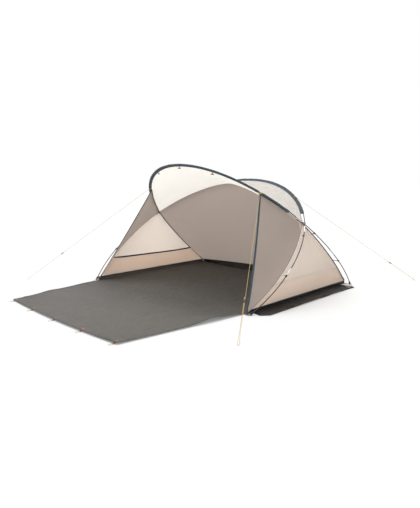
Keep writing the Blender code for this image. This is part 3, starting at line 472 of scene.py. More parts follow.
# Tub walls: near-black, partly the sheet's dark coated side and partly painted shade of the low walls
DARK_SHADED_TUB_CLOTH = ground_cloth("groundsheet_wall", linear(34, 32, 31), 0.50, 0.02)
FLAP_CLOTH = ground_cloth("sand_flap_cloth", linear(38, 37, 36), 0.55, 0.06)
FLAP_UNDER = ground_cloth("sand_flap_underside", linear(112, 107, 100), 0.62, 0.08, crease_lines_and_glints=0.06)
GREY_WEBBING = woven_tape("grey_webbing", 118, 108, 100)
PALE_WEBBING = woven_tape("pale_webbing", 214, 210, 202)
BEIGE_WEBBING = woven_tape("beige_webbing", 206, 188, 172)
TAUPE_WEBBING = woven_tape("taupe_webbing", 150, 138, 130)
BROWN_WEBBING = woven_tape("brown_webbing", 120, 82, 60)
ORANGE_WEBBING = woven_tape("orange_webbing", 176, 108, 66)
YELLOW_WEBBING = woven_tape("yellow_webbing", 205, 176, 96)
BLACK_PLASTIC = moulded_plastic("black_plastic", 34, 33, 33)
BROWN_PLASTIC = moulded_plastic("brown_plastic", 122, 78, 56)
ROD = glass_fibre("glass_fibre_rod", 26, 23, 21)
STEEL = ferrule_steel("ferrule_steel", 214, 214, 212)
CORD = braided_cord("guy_cord", True)
CORD_MESH = braided_cord("guy_cord_knots")


# Mesh making
def shown(name, data):
    made = bpy.data.objects.new(name, data)
    bpy.context.scene.collection.objects.link(made)
    return made


def settled(made, slot, stands_for=None, body="shelter"):
    """Ride a piece on its body, and hide the solid that it replaces."""
    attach(made, body)
    if stands_for:
        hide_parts(stands_for)
    return made


def facing_out(points, faces):
    """The faces, turned round if the solid they close is inside out."""
    points = points - points.mean(0)
    volume = 0.0
    for size in {len(face) for face in faces}:
        corners = points[np.array([face for face in faces if len(face) == size])]
        for k in range(1, size - 1):
            volume += (corners[:, 0] * np.cross(corners[:, k], corners[:, k + 1])).sum()
    return faces if volume > 0 else [list(face)[::-1] for face in faces]


def add_mesh(name, points, faces, grain, finishes, groups, *place):
    """A closed mesh in the part's frame, with a UV in metres per point and a finish per face."""
    mesh = bpy.data.meshes.new(name)
    mesh.from_pydata(points.tolist(), [], faces)
    corners = np.zeros(len(mesh.loops), np.int64)
    mesh.loops.foreach_get("vertex_index", corners)
    layer = mesh.uv_layers.new(name="grain")
    layer.data.foreach_set("uv", grain.astype(np.float32)[corners].ravel())
    for finish in finishes:
        mesh.materials.append(finish)
    mesh.polygons.foreach_set("material_index", np.asarray(groups, np.int32))
    mesh.shade_smooth()
    mesh.set_sharp_from_angle(angle=math.radians(SHARP_ANGLE))
    return settled(shown(name, mesh), *place)


def grid_faces(stations, width):
    """Faces of a closed sheet whose front points come first and back points second."""
    layer = stations * width
    i, j = np.meshgrid(np.arange(stations - 1), np.arange(width - 1), indexing="ij")
    a = (i * width + j).ravel()
    b = a + width
    front = np.stack([a, b, b + 1, a + 1], 1)
    back = np.stack([a, a + 1, b + 1, b], 1) + layer
    rim = []
    for k in range(stations - 1):
        low, high = k * width, (k + 1) * width - 1
        rim.append((low + width, low, layer + low, layer + low + width))
        rim.append((high, high + width, layer + high + width, layer + high))
    for near in range(width - 1):
        far = (stations - 1) * width + near
        rim.append((near, near + 1, layer + near + 1, layer + near))
        rim.append((far + 1, far, layer + far, layer + far + 1))
    return np.concatenate([front, back, np.array(rim)]).tolist()


def grid_normals(grid):
    normal = np.cross(np.gradient(grid, axis=0), np.gradient(grid, axis=1))
    return normal / np.maximum(np.linalg.norm(normal, axis=2, keepdims=True), 1e-12)


def grid_grain(grid):
    """The u and v of a grid's points in metres: its mean lengths along and across."""
    along = np.linalg.norm(np.diff(grid, axis=0), axis=2).mean(1)
    across = np.linalg.norm(np.diff(grid, axis=1), axis=2).mean(0)
    return np.meshgrid(running_sum(along), running_sum(across), indexing="ij")


def add_cloth(name, grid, flat, finish, slot, stands_for, *rests_on, thickness=CANOPY_THICKNESS,
              held="stretched", lining=None, body="shelter"):
    """A sheet of cloth round its middle surface, with its grain in metres taken from flat, its unfolded
    surface.

    A lining is the finish of the face that the grid's normals point away from.
    """
    shift = grid_normals(grid) * thickness / 2
    points = np.concatenate([(grid + shift).reshape(-1, 3), (grid - shift).reshape(-1, 3)])
    u, v = grid_grain(flat)
    grain = np.concatenate([np.stack([u, v], 2).reshape(-1, 2)] * 2)
    faces = grid_faces(*grid.shape[:2])
    one_side = (grid.shape[0] - 1) * (grid.shape[1] - 1)
    groups = np.zeros(len(faces), int)
    groups[one_side:2 * one_side] = lining is not None
    finishes = [finish] if lining is None else [finish, lining]
    made = add_mesh(name, points, facing_out(points, faces), grain, finishes, groups,
                    slot, stands_for, body)


def ring_faces(count, sides, closed=False):
    """Faces over rings of points: capped at both ends, or closed on themselves."""
    i, j = np.meshgrid(np.arange(count if closed else count - 1), np.arange(sides), indexing="ij")
    here, after, beside = i.ravel() * sides, (i.ravel() + 1) % count * sides, (j.ravel() + 1) % sides
    j = j.ravel()
    faces = np.stack([here + j, here + beside, after + beside, after + j], 1).tolist()
    if not closed:
        faces.append(list(range(sides - 1, -1, -1)))
        faces.append(list(range((count - 1) * sides, count * sides)))
    return faces


def swept(rings, finish, closed=False):
    """A solid through rings of points that turn right-handed round the way they follow."""
    rings = np.asarray(rings, float)
    steps = np.linalg.norm(np.roll(rings, -1, axis=1) - rings, axis=2).mean(0)
    grain = np.meshgrid(lengths_along(rings.mean(1)), running_sum(steps)[:-1], indexing="ij")
    grain = np.stack(grain, 2).reshape(-1, 2)
    return rings.reshape(-1, 3), ring_faces(*rings.shape[:2], closed), grain, finish


def joined(name, parts, *place):
    """Several loose solids made into one piece. Each is (points, faces, grain, finish)."""
    finishes = list(dict.fromkeys(part[3] for part in parts))
    faces, groups = [], []
    shift = 0
    for points, these, _, finish in parts:
        these = facing_out(points, these)
        faces += [[int(index) + shift for index in face] for face in these]
        groups += [finishes.index(finish)] * len(these)
        shift += len(points)
    points, grain = (np.concatenate([part[k] for part in parts]) for k in (0, 2))
    return add_mesh(name, points, faces, grain, finishes, groups, *place)


def joined_pair(name, parts, slot, stands_for=None):
    """The piece at the right and its mirror image at the left; the names hold {} for the side."""
    for label, _ in SIDES:
        joined(name.format(label), parts, slot, stands_for and stands_for.format(label))
        parts = [(points * MIRROR, [face[::-1] for face in faces], grain, finish)
                 for points, faces, grain, finish in parts]


def tangents(path, ring):
    return unit(np.roll(path, -1, axis=0) - np.roll(path, 1, axis=0) if ring else np.gradient(path, axis=0))


def tube_part(path, radius, finish, sides=10, lead=UP, ring=False, squash=1.0):
    """A round or flattened bar along a path, whose sections turn as little as can be."""
    path = np.asarray(path, float)
    radius = np.broadcast_to(np.asarray(radius, float), (len(path),))[:, None, None]
    tangent = tangents(path, ring)
    if abs(tangent[0] @ unit(lead)) > 0.95:
        lead = lead[[1, 2, 0]]
    first = []
    for step in tangent:
        lead = unit(lead - step * (lead @ step))
        first.append(lead)
    first = np.array(first)
    second = np.cross(tangent, first)
    angles = turns(sides, math.pi / sides)[None, :, None]
    rings = radius * (np.cos(angles) * squash * first[:, None] + np.sin(angles) * second[:, None])
    return swept(path[:, None] + rings, finish, ring)


def strip_part(path, sideways, width, thickness, finish, ring=False):
    """A flat tape with soft edges along a path; sideways gives its width direction."""
    path = np.asarray(path, float)
    sideways = unit(np.broadcast_to(np.asarray(sideways, float), path.shape))
    normal = unit(np.cross(tangents(path, ring), sideways))
    half = np.broadcast_to(np.asarray(width, float), (len(path),))[:, None] / 2
    soft = thickness * 0.4
    section = ((-1, 1, -0.5), (1, -1, -0.5), (1, 0, 0.0), (1, -1, 0.5), (-1, 1, 0.5), (-1, 0, 0.0))
    rings = [path + sideways * (side * half + step * soft) + normal * up * thickness
             for side, step, up in section]
    rings = np.stack(rings, 1)
    points, faces, grain, finish = swept(rings, finish, ring)
    grain[:, 1] = (((rings - path[:, None]) * sideways[:, None]).sum(2) + half).ravel()
    return points, faces, grain, finish


def plate_part(outline, low, high, finish, edge=0.0008):
    """A flat plate with softened edges from an outline that turns left."""
    inner = outline + unit(outline.mean(0) - outline) * edge
    levels = ((inner, low), (outline, low + edge * 0.6), (outline, high - edge * 0.6), (inner, high))
    rings = [np.column_stack([flat, np.full(len(flat), level)]) for flat, level in levels]
    points, faces, _, finish = swept(rings, finish)
    return points, faces, points[:, :2].copy(), finish


def rounded(outline, radius):
    """An outline made to turn left, with its corners rounded."""
    after = np.roll(outline, -1, axis=0)
    if (outline[:, 0] * after[:, 1] - after[:, 0] * outline[:, 1]).sum() < 0:
        outline = outline[::-1]
    out = []
    for k, corner in enumerate(outline):
        before = corner + unit(outline[k - 1] - corner) * radius
        after = corner + unit(outline[(k + 1) % len(outline)] - corner) * radius
        for t in shares(CORNER_STEPS):
            out.append((1 - t) ** 2 * before + 2 * t * (1 - t) * corner + t * t * after)
    return np.array(out)


def squared(wave, power):
    """A wave of a circle, made squarer by a power below 1."""
    return np.sign(wave) * np.abs(wave) ** power


def circle(centre, u, v, radius, count=24):
    angles = turns(count)[:, None]
    return centre + radius * (np.cos(angles) * u + np.sin(angles) * v)


# Value noise for folds and creases
def field(u, v, seed):
    table = np.random.RandomState(seed).rand(NOISE_CELLS, NOISE_CELLS) * 2 - 1
    i, j = np.floor(u).astype(int), np.floor(v).astype(int)
    f, g = smooth(u - i), smooth(v - j)
    near, far = (table[row, j % NOISE_CELLS] * (1 - g) + table[row, (j + 1) % NOISE_CELLS] * g
                 for row in (i % NOISE_CELLS, (i + 1) % NOISE_CELLS))
    return near * (1 - f) + far * f


def octaves(u, v, seed, count, shape):
    """Value noise in finer and finer layers, each shaped and half as strong as the one before."""
    u, v = np.broadcast_arrays(u, v)
    return sum(0.5 ** k * shape(field(u * 2 ** k, v * 2 ** k, seed + k)) for k in range(count))


def layered(u, v, seed, count=4):
    return octaves(u, v, seed, count, lambda value: value)


def ridged(u, v, seed):
    """Sharp-crested creases, from 0 to about 1."""
    return 0.5 * octaves(u, v, seed, 3, lambda value: (1 - np.abs(value)) ** 6)


# The two hoops and the seams between them
class Hoop:
    """A rod bent in a leaning plane: an ellipse cut off at the ground line of its two feet."""

    def __init__(self, feet_y, towards, height, reach, feet_half, half_width):
        rise = math.hypot(height, reach)
        foot_sin = -math.sqrt(1.0 - (feet_half / half_width) ** 2)
        self.feet_y, self.feet_half, self.half_width = feet_y, feet_half, half_width
        self.semi = rise / (1.0 - foot_sin)
        self.middle = -self.semi * foot_sin
        self.slope = towards * reach / height
        self.up = np.array([0.0, towards * reach / rise, height / rise])
        self.across = np.cross(SIDEWAYS, self.up)
        start = math.atan2(foot_sin, feet_half / half_width)
        self.angles = np.linspace(start, math.pi - start, HOOP_SAMPLES)
        flat = np.stack([half_width * np.cos(self.angles), self.semi * np.sin(self.angles)], 1)
        self.arcs = lengths_along(flat)
        self.length = self.arcs[-1]

    def at(self, arcs):
        """Points, tangents and inward directions at arcs along the rod from the right foot."""
        angle = np.interp(np.asarray(arcs, float), self.arcs, self.angles)
        zero = np.zeros_like(angle)
        base = np.stack([self.half_width * np.cos(angle), zero + self.feet_y, zero], -1)
        points = base + (self.middle + self.semi * np.sin(angle))[..., None] * self.up
        along = unit(np.stack([-self.half_width * np.sin(angle), zero, zero], -1)
                     + (self.semi * np.cos(angle))[..., None] * self.up)
        return points, along, unit(-np.cross(along, self.across))

    def arc_at_height(self, height):
        angle = math.asin((height / self.up[2] - self.middle) / self.semi)
        return float(np.interp(angle, self.angles, self.arcs))

    def edge(self, arcs, inset):
        points, _, inward = self.at(arcs)
        return points + np.asarray(inset)[..., None] * inward


FRONT_HOOP = Hoop(REAR_Y + FRONT_HOOP_SETBACK, -1.0, FRONT_HOOP_HEIGHT, FRONT_HOOP_REACH,
                  FRONT_FEET_HALF, FRONT_HOOP_HALF_WIDTH)
REAR_HOOP = Hoop(FRONT_Y, 1.0, REAR_HOOP_HEIGHT, REAR_HOOP_REACH, REAR_FEET_HALF, REAR_HOOP_HALF_WIDTH)
CROSSING_HEIGHT = (FRONT_HOOP.feet_y - REAR_HOOP.feet_y) / (REAR_HOOP.slope - FRONT_HOOP.slope)
FRONT_CROSSING_ARC = FRONT_HOOP.arc_at_height(CROSSING_HEIGHT)
REAR_CROSSING_ARC = REAR_HOOP.arc_at_height(CROSSING_HEIGHT)
CROSSING = FRONT_HOOP.at(FRONT_CROSSING_ARC)[0] - SIDEWAYS * CROSSING_TUCK


def leg_seam(hoop, tub_half, bow):
    """Seam from the crossing down a hoop's right leg to the tub's rim."""
    share = shares(LEG_STATIONS)
    start, end = hoop.arc_at_height(CROSSING_HEIGHT), hoop.arc_at_height(TUB_SIDE_RISE)
    foot_inset = hoop.feet_half - tub_half
    inset = CROSSING_TUCK + (foot_inset - CROSSING_TUCK) * share + bow * np.sin(math.pi * share)
    points = hoop.edge(np.linspace(start, end, LEG_STATIONS + 1), inset)
    corner = np.array([tub_half + TUB_LEAN, hoop.feet_y + hoop.slope * TUB_SIDE_RISE, TUB_SIDE_RISE])
    head, tail = CROSSING - points[0], corner - points[-1]
    return points + head * (1 - share)[:, None] + tail * share[:, None]


def arch_seam(hoop, start, end, steps):
    return hoop.edge(np.linspace(start, end, steps + 1), np.full(steps + 1, SLEEVE_REACH))


def line(start, end, count, lift=0.0):
    share = shares(count)[:, None]
    return start + (end - start) * share + np.asarray(lift) * 4 * share * (1 - share)


REAR_LEG_SEAM = leg_seam(REAR_HOOP, FLOOR_FRONT_HALF, REAR_LEG_BOW)
FRONT_LEG_SEAM = leg_seam(FRONT_HOOP, FLOOR_REAR_HALF, FRONT_LEG_BOW)
RIM_FRONT, RIM_REAR = REAR_LEG_SEAM[-1], FRONT_LEG_SEAM[-1]
SHOULDER = arch_seam(FRONT_HOOP, FRONT_GUY_ARC, FRONT_CROSSING_ARC, GUY_STATIONS)
SHOULDER[-1] = CROSSING
FRONT_ARCH = arch_seam(FRONT_HOOP, FRONT_GUY_ARC, FRONT_HOOP.length - FRONT_GUY_ARC, ARCH_STATIONS)
REAR_ARCH = arch_seam(REAR_HOOP, REAR_CROSSING_ARC, REAR_HOOP.length - REAR_CROSSING_ARC,
                      2 * GUY_STATIONS + ARCH_STATIONS)
REAR_ARCH[0], REAR_ARCH[-1] = CROSSING, CROSSING * MIRROR
REAR_RIM = line(RIM_REAR, RIM_REAR * MIRROR, REAR_STATIONS, UP * (TUB_REAR_RISE - TUB_SIDE_RISE))


def between(low, high, across):
    """Rows of points from one edge to another, at shares of the way across."""
    return low[:, None] * (1 - across)[None, :, None] + high[:, None] * across[None, :, None]


def upsampled(points, times):
    """A smooth run through the given points, with a number of steps between each two."""
    p = np.asarray(points, float)
    ends = np.concatenate([2 * p[:1] - p[1:2], p, 2 * p[-1:] - p[-2:-1]])
    out = []
    for k in range(len(p) - 1):
        a, b, c, d = ends[k:k + 4]
        for t in np.arange(times) / times:
            out.append(0.5 * (2 * b + (c - a) * t + (2 * a - 5 * b + 4 * c - d) * t ** 2
                              + (3 * b - a - 3 * c + d) * t ** 3))
    return np.array(out + [p[-1]])


def eased(grid, draw, passes):
    """Every inner point drawn to the mean of its neighbours, a number of times."""
    for _ in range(passes):
        along = grid[:-2, 1:-1] + grid[2:, 1:-1]
        across = grid[1:-1, :-2] + grid[1:-1, 2:]
        grid[1:-1, 1:-1] = (draw * along + across) / (2 * draw + 2)
    return grid


def relaxed(edge_a, edge_b, rows, draw=1.0):
    """A stretched skin between two edges, whose ends are drawn in a little."""
    a, b = np.array(edge_a), np.array(edge_b)
    for side in (a, b):
        side[0] = side[0] + unit(side[1] - side[0]) * EDGE_DRAW_IN
        side[-1] = side[-1] + unit(side[-2] - side[-1]) * EDGE_DRAW_IN
    return eased(between(a, b, shares(rows)), draw, RELAX_PASSES)


def refined(grid, times, draw=1.0):
    """The same skin with more points each way, eased once more between its borders."""
    fine = upsampled(grid, times)
    return eased(upsampled(fine.transpose(1, 0, 2), times).transpose(1, 0, 2), draw, EASE_PASSES)


def border_fade(grid, metres):
    """0 on a grid's borders, rising to 1 over a distance in metres."""
    u, v = grid_grain(grid)
    near = np.minimum(np.minimum(u, u[-1, 0] - u), np.minimum(v, v[0, -1] - v))
    return smooth(near / metres)


def fan(points, centre, plane_a, plane_b, count, seed, reach, flip=1.0):
    """Pleats that spread from a point: count per radian, deepest at a third of their reach."""
    away = points - centre * flip
    a, b = away @ (plane_a * flip), away @ (plane_b * flip)
    distance = np.hypot(a, b)
    angle = np.arctan2(a, b)
    wander = 0.35 * field(distance * 5.0, angle * 2.0, seed)
    depth = 0.6 + 0.6 * field(angle * count * 0.5, distance * 2, seed + 1)
    shape = smooth(distance / (reach * 0.25)) * smooth((reach - distance) / (reach * 0.75))
    return np.sin(TURN * (angle * count + wander)) * depth * shape


def soft_folds(grid, depth, along, across, seed, border):
    """Uneven folds, so many a metre along and across, that fade out at the borders."""
    u, v = grid_grain(grid)
    return depth * layered(u * along, v * across, seed) * border_fade(grid, border)


def pleats(grid, depth, border, *spread):
    """The pleats of a fan, that fade out at the borders."""
    return depth * fan(grid, *spread) * border_fade(grid, border)


def displaced(grid, height):
    return grid + grid_normals(grid) * height[..., None]


# Canopy
def build_ceiling():
    front = np.concatenate([SHOULDER[::-1][:-1], FRONT_ARCH, (SHOULDER * MIRROR)[1:]])
    flat = refined(relaxed(front, REAR_ARCH, PANEL_ROWS, CEILING_DRAW), CEILING_FINER, CEILING_DRAW)
    height = soft_folds(flat, 0.0020, 2.0, 4.5, 11, 0.10)
    inwards = 0.3 * UP - SIDEWAYS
    for _, flip in SIDES:
        height += pleats(flat, 0.0016, 0.05, CROSSING, AHEAD, inwards, 3.2, 21, 0.8, flip)
    add_cloth("ceiling_cloth", displaced(flat, height), flat, CREAM_CLOTH, "cream_fabric", "ceiling",
              "front_sleeve_centre", "rear_sleeve_centre")


def build_back_wall():
    low = np.concatenate([FRONT_LEG_SEAM, REAR_RIM[1:], (FRONT_LEG_SEAM * MIRROR)[::-1][1:]])
    flat = refined(relaxed(REAR_ARCH, low, PANEL_ROWS), CEILING_FINER)
    height = soft_folds(flat, 0.0026, 2.0, 2.0, 31, 0.08)
    downwards = 0.6 * AHEAD - 0.8 * UP
    for _, flip in SIDES:
        height += pleats(flat, 0.0030, 0.08, CROSSING, -SIDEWAYS, downwards, 3.6, 41, 1.3, flip)
    u, v = grid_grain(flat)
    slant = np.sin(TURN * (u * 2.3 + v * 1.7) + 2.5 * field(u * 2, v * 2, 47))
    slant *= smooth(layered(u * 1.4, v * 1.4, 49, 2) * 1.4)
    height += 0.0024 * slant * border_fade(flat, 0.08)
    add_cloth("back_wall_cloth", displaced(flat, height), flat, TAUPE_CLOTH, "taupe_fabric", "back_wall",
              "rear_sleeve_centre", "tub_floor")


def side_wall_grid():
    high = np.concatenate([REAR_LEG_SEAM[::-1], FRONT_LEG_SEAM[1:]])
    return relaxed(high, line(RIM_FRONT, RIM_REAR, 2 * LEG_STATIONS), PANEL_ROWS)


def build_side_walls():
    flat = refined(side_wall_grid(), SIDE_FINER)
    height = soft_folds(flat, 0.0022, 3.0, 3.0, 53, 0.06)
    height += pleats(flat, 0.0026, 0.03, CROSSING + UP * 0.02, AHEAD, -UP, 8.0, 57, 0.62)
    for label, flip in SIDES:
        add_cloth("side_wall_cloth_" + label, displaced(flat, height) * flip, flat, BEIGE_CLOTH,
                  "beige_fabric", "side_wall_" + label, "tub_floor")


def wing_surface():
    """The right wing as drawn flat between its seams, and as it hangs with its ripples."""
    seam = np.concatenate([SHOULDER, REAR_LEG_SEAM[1:]])
    corner = np.array([FLOOR_FRONT_HALF, FRONT_Y, 0.006])
    lean = unit(SHOULDER[-1] - (SHOULDER[0] + corner) / 2)
    edge = line(SHOULDER[0], corner, len(seam) - 1, lean * WING_EDGE_SAG)
    flat = refined(relaxed(seam, edge, PANEL_ROWS // 2), WING_FINER)
    height = soft_folds(flat, 0.0020, 2.5, 4.0, 61, 0.05)
    height += pleats(flat, 0.0014, 0.05, SHOULDER[0], AHEAD, -UP, 6.0, 67, 0.8)
    u, v = grid_grain(flat)
    ripples = np.sin(TURN * (v * 7.0 + 0.6 * field(u * 2.0, v * 3, 63)))
    ripples *= smooth(1.2 * field(u * 1.6, v * 2.0, 65))
    return flat, displaced(flat, height + 0.0012 * ripples * border_fade(flat, 0.05))


def build_wings():
    flat, shaped = wing_surface()
    edge = shaped[:, -1]
    inward = unit(shaped[:, -2] - edge)
    for label, flip in SIDES:
        add_cloth("wing_cloth_" + label, shaped * flip, flat, TAUPE_CLOTH, "taupe_fabric", "wing_" + label,
                  "front_sleeve_" + label)
        tape = strip_part((edge + inward * 0.009) * flip, inward * flip, WIDE_TAPE_WIDTH,
                          EDGE_TAPE_THICKNESS, WIDE_TAPE)
        joined("wing_edge_tape_" + label, [tape], "petrol_fabric")


def build_shoulder_strips():
    """Beige corner patch on each wing: from the sleeve's end, past the crossing, and down the leg."""
    wing = wing_surface()[1]
    outward = grid_normals(wing)
    outward *= -np.sign(outward[..., 1:2])
    along = lengths_along(wing[:, 0])
    crossing = along[np.linalg.norm(wing[:, 0] - CROSSING, axis=1).argmin()]
    start, end = crossing - (FRONT_SLEEVE_END_ARC - FRONT_CROSSING_ARC), crossing + STRIP_LEG
    share = shares(8)
    strip = []
    for row, place in zip(wing + outward * STRIP_LIFT, along):
        if start < place < end:
            wide = np.interp(place, [start, crossing, crossing + 0.03, end],
                             [STRIP_START, STRIP_CORNER, STRIP_CORNER * 0.9, STRIP_START])
            inset = STRIP_SEAM + (wide - STRIP_SEAM) * share
            strip.append(points_at(inset, lengths_along(row), row))
    flat = np.array(strip)
    for label, flip in SIDES:
        add_cloth("shoulder_strip_" + label, flat * flip, flat, BEIGE_CLOTH, "beige_fabric", None,
                  "wing_" + label)


def build_pockets():
    """A second layer over the foot of each side wall, bagging a little at its taped hem."""
    wall = upsampled(side_wall_grid(), SIDE_FINER)
    front, rear = wall[0, 0, 1], wall[-1, 0, 1]
    share = shares(28)
    columns, level = [], []
    for column in wall[5:-5]:
        place = (column[:, 1].mean() - front) / (rear - front)
        hem = POCKET_HEM_HEIGHT + 0.004 * math.sin(math.pi * place) * math.sin(5.0 * place)
        top = min(hem, column[0, 2] - 0.006)
        level.append(top == hem)
        heights = top + (column[-1, 2] + 0.001 - top) * share
        columns.append(points_at(heights, column[::-1, 2], column[::-1]))
    flat = np.array(columns)
    normal = grid_normals(flat)
    normal *= -np.sign(normal[..., :1])
    ramp = np.sin(np.linspace(0.0, math.pi, flat.shape[0]))[:, None]
    u, v = grid_grain(flat)
    slack = 0.0025 * layered(u * 3.2, v * 5.0, 71)
    slack += 0.0028 * np.sin(TURN * (u * 5.5 - v * 3.0)) * field(u * 3, v * 3, 73)
    bag = POCKET_GAP + ramp * (POCKET_BAG * (1 - share) ** 1.3 + (1 - share) * slack)
    shaped = flat + normal * np.maximum(bag, 0.002)[..., None]
    first, last = np.flatnonzero(level)[[0, -1]]
    hem, below = shaped[max(first - 1, 0):last + 2, :2].transpose(1, 0, 2)
    down = unit(below - hem)
    for label, flip in SIDES:
        add_cloth("pocket_cloth_" + label, shaped * flip, flat, POCKET_CLOTH, "beige_fabric",
                  "pocket_" + label, "side_wall_" + label)
        tape = strip_part((hem + down * 0.006) * flip, down * flip, POCKET_TAPE_WIDTH,
                          HEM_TAPE_THICKNESS, NARROW_TAPE)
        joined("pocket_hem_" + label, [tape], "petrol_fabric")


def inner_seam(path, radius, finish, lift, flip=1.0):
    """A round seam, lifted from the path towards the middle of the cabin."""
    path = path + unit(np.array([0.0, -0.1, 0.45]) - path) * lift
    return tube_part(path * flip, radius, finish, SEAM_SIDES)


def build_seams():
    """Seam tapes, and the dark piping along the corners of the shelter."""
    leg, shoulder, side = (upsampled(seam, 8) for seam in (FRONT_LEG_SEAM, SHOULDER, REAR_LEG_SEAM))
    rim = line(RIM_FRONT, RIM_REAR, 60) - SIDEWAYS * 0.001
    rear = upsampled(REAR_RIM, 6) - AHEAD * 0.001
    for label, flip in SIDES:
        joined("dark_seam_" + label, [inner_seam(leg, PIPING_RADIUS, PIPING, 0.0020, flip),
                                      inner_seam(shoulder, SHOULDER_PIPING_RADIUS, PIPING, 0.0020, flip)],
               "petrol_fabric")
        joined("side_seam_" + label, [inner_seam(side, SIDE_SEAM_RADIUS, TAUPE_TAPE, 0.0012, flip)],
               "taupe_fabric")
        joined("tub_seam_" + label, [tube_part(rim * flip, TUB_SEAM_RADIUS, DARK_TAPE, SEAM_SIDES)],
               "ground_sheet")
    joined("ceiling_seam", [inner_seam(upsampled(REAR_ARCH, 6), CEILING_SEAM_RADIUS, TAUPE_TAPE, 0.0012)],
           "taupe_fabric")
    joined("rear_tub_seam", [tube_part(rear, TUB_SEAM_RADIUS, DARK_TAPE, SEAM_SIDES)], "ground_sheet")


# Sleeves and rods
def sleeve_ring(hoop, arc, radius, flat, short=0.0):
    """Teardrop section round the rod, drawn out to the flat stitched seam."""
    centre, _, inward = hoop.at(arc)
    tilt = math.acos(min(1.0, (radius - flat) / (SLEEVE_REACH * 0.70)))
    around = [(radius * math.cos(turn), radius * math.sin(turn))
              for turn in np.linspace(tilt, TURN - tilt, 17)]
    neck = SLEEVE_REACH * 0.70, SLEEVE_REACH * 0.86, SLEEVE_REACH - short
    tip = [(u, -flat) for u in neck] + [(u, flat) for u in neck[::-1]]
    return np.array([centre + u * inward + v * hoop.across for u, v in around + tip])


def build_sleeve(name, hoop, start, end, seed):
    count = max(8, int((end - start) / SLEEVE_STEP))
    arcs = np.linspace(start, end, count)
    pucker = layered(arcs * 22.0, np.zeros(count), seed, 3)
    outer, inner = [], []
    for k, arc in enumerate(arcs):
        hem = SLEEVE_HEM if k < 3 or k > count - 4 else 0.0
        radius = SLEEVE_RADIUS + SLEEVE_PUCKER * pucker[k]
        outer.append(sleeve_ring(hoop, arc, radius + hem, SLEEVE_EDGE_HALF + hem))
        inner.append(sleeve_ring(hoop, arc, radius - SLEEVE_WALL, SLEEVE_GAP_HALF, 0.002))
    joined(name + "_cloth", [swept(outer + inner[::-1], SLEEVE_CLOTH, True)], "petrol_fabric", name)


def build_sleeves():
    half = SLEEVE_BREAK / 2
    for hoop, label, guy, end, seed in (
            (FRONT_HOOP, "front_sleeve_", FRONT_GUY_ARC, FRONT_SLEEVE_END_ARC, 81),
            (REAR_HOOP, "rear_sleeve_", REAR_GUY_ARC, REAR_SLEEVE_END_ARC, 91)):
        far = hoop.length - guy
        build_sleeve(label + "right", hoop, end, guy - half, seed)
        build_sleeve(label + "centre", hoop, guy + half, far - half, seed + 1)
        build_sleeve(label + "left", hoop, far + half, hoop.length - end, seed + 2)


def hoop_ring(hoop, arcs, section):
    """Cross-sections (towards the inside, across the hoop's plane) set on a rod."""
    centre, _, inward = hoop.at(arcs)
    return centre[:, None] + section[..., :1] * inward[:, None] + section[..., 1:] * hoop.across


def round_sections(radii, sides=ROUND_SIDES):
    ring = np.stack([np.cos(turns(sides)), np.sin(turns(sides))], 1)
    return np.asarray(radii)[:, None, None] * ring


def foot_arc(hoop):
    return (ANCHOR_PLATE + TOUCH + POLE_RADIUS) / hoop.up[2]


def section_cuts(hoop):
    end = FRONT_END_SECTION if hoop is FRONT_HOOP else REAR_END_SECTION
    foot = foot_arc(hoop)
    return [foot, *np.linspace(end, hoop.length - end, SECTIONS - 1), hoop.length - foot]


def build_rods():
    """Nine rods a hoop, each but the last with the steel ferrule that takes the next one."""
    steps = np.array([-1, -0.985, -0.96, -0.95, -0.93, -0.5, 0, 0.5, 0.93, 0.95, 0.96, 0.985, 1])
    swell = np.array([0.84, 0.97, 1, 0.96, 1, 1, 1, 1, 1, 0.96, 1, 0.97, 0.84])
    for hoop, label in ((FRONT_HOOP, "front_pole_"), (REAR_HOOP, "rear_pole_")):
        cuts = section_cuts(hoop)
        for k in range(SECTIONS):
            low, high = cuts[k] + TOUCH, cuts[k + 1]
            inner = np.linspace(low, high, int((high - low) / ROD_STEP) + 2)
            arcs = np.concatenate([[low, low + 0.001], inner[1:-1], [high - 0.001, high]])
            radii = np.full(len(arcs), POLE_RADIUS)
            radii[[0, -1]] *= 0.8
            parts = [swept(hoop_ring(hoop, arcs, round_sections(radii)), ROD)]
            if k < SECTIONS - 1:
                places = high + FERRULE_LENGTH / 2 * steps
                parts.append(swept(hoop_ring(hoop, places, round_sections(FERRULE_RADIUS * swell)), STEEL))
            joined("rod_" + label + str(k + 1), parts, "pole", label + str(k + 1))


# Clips
def seam_distance(hoop, arc, seam):
    rod, tangent, inward = hoop.at(arc)
    along, depth = (seam - rod) @ tangent, (seam - rod) @ inward
    order = np.argsort(along)
    return float(np.interp(0.0, along[order], depth[order]))


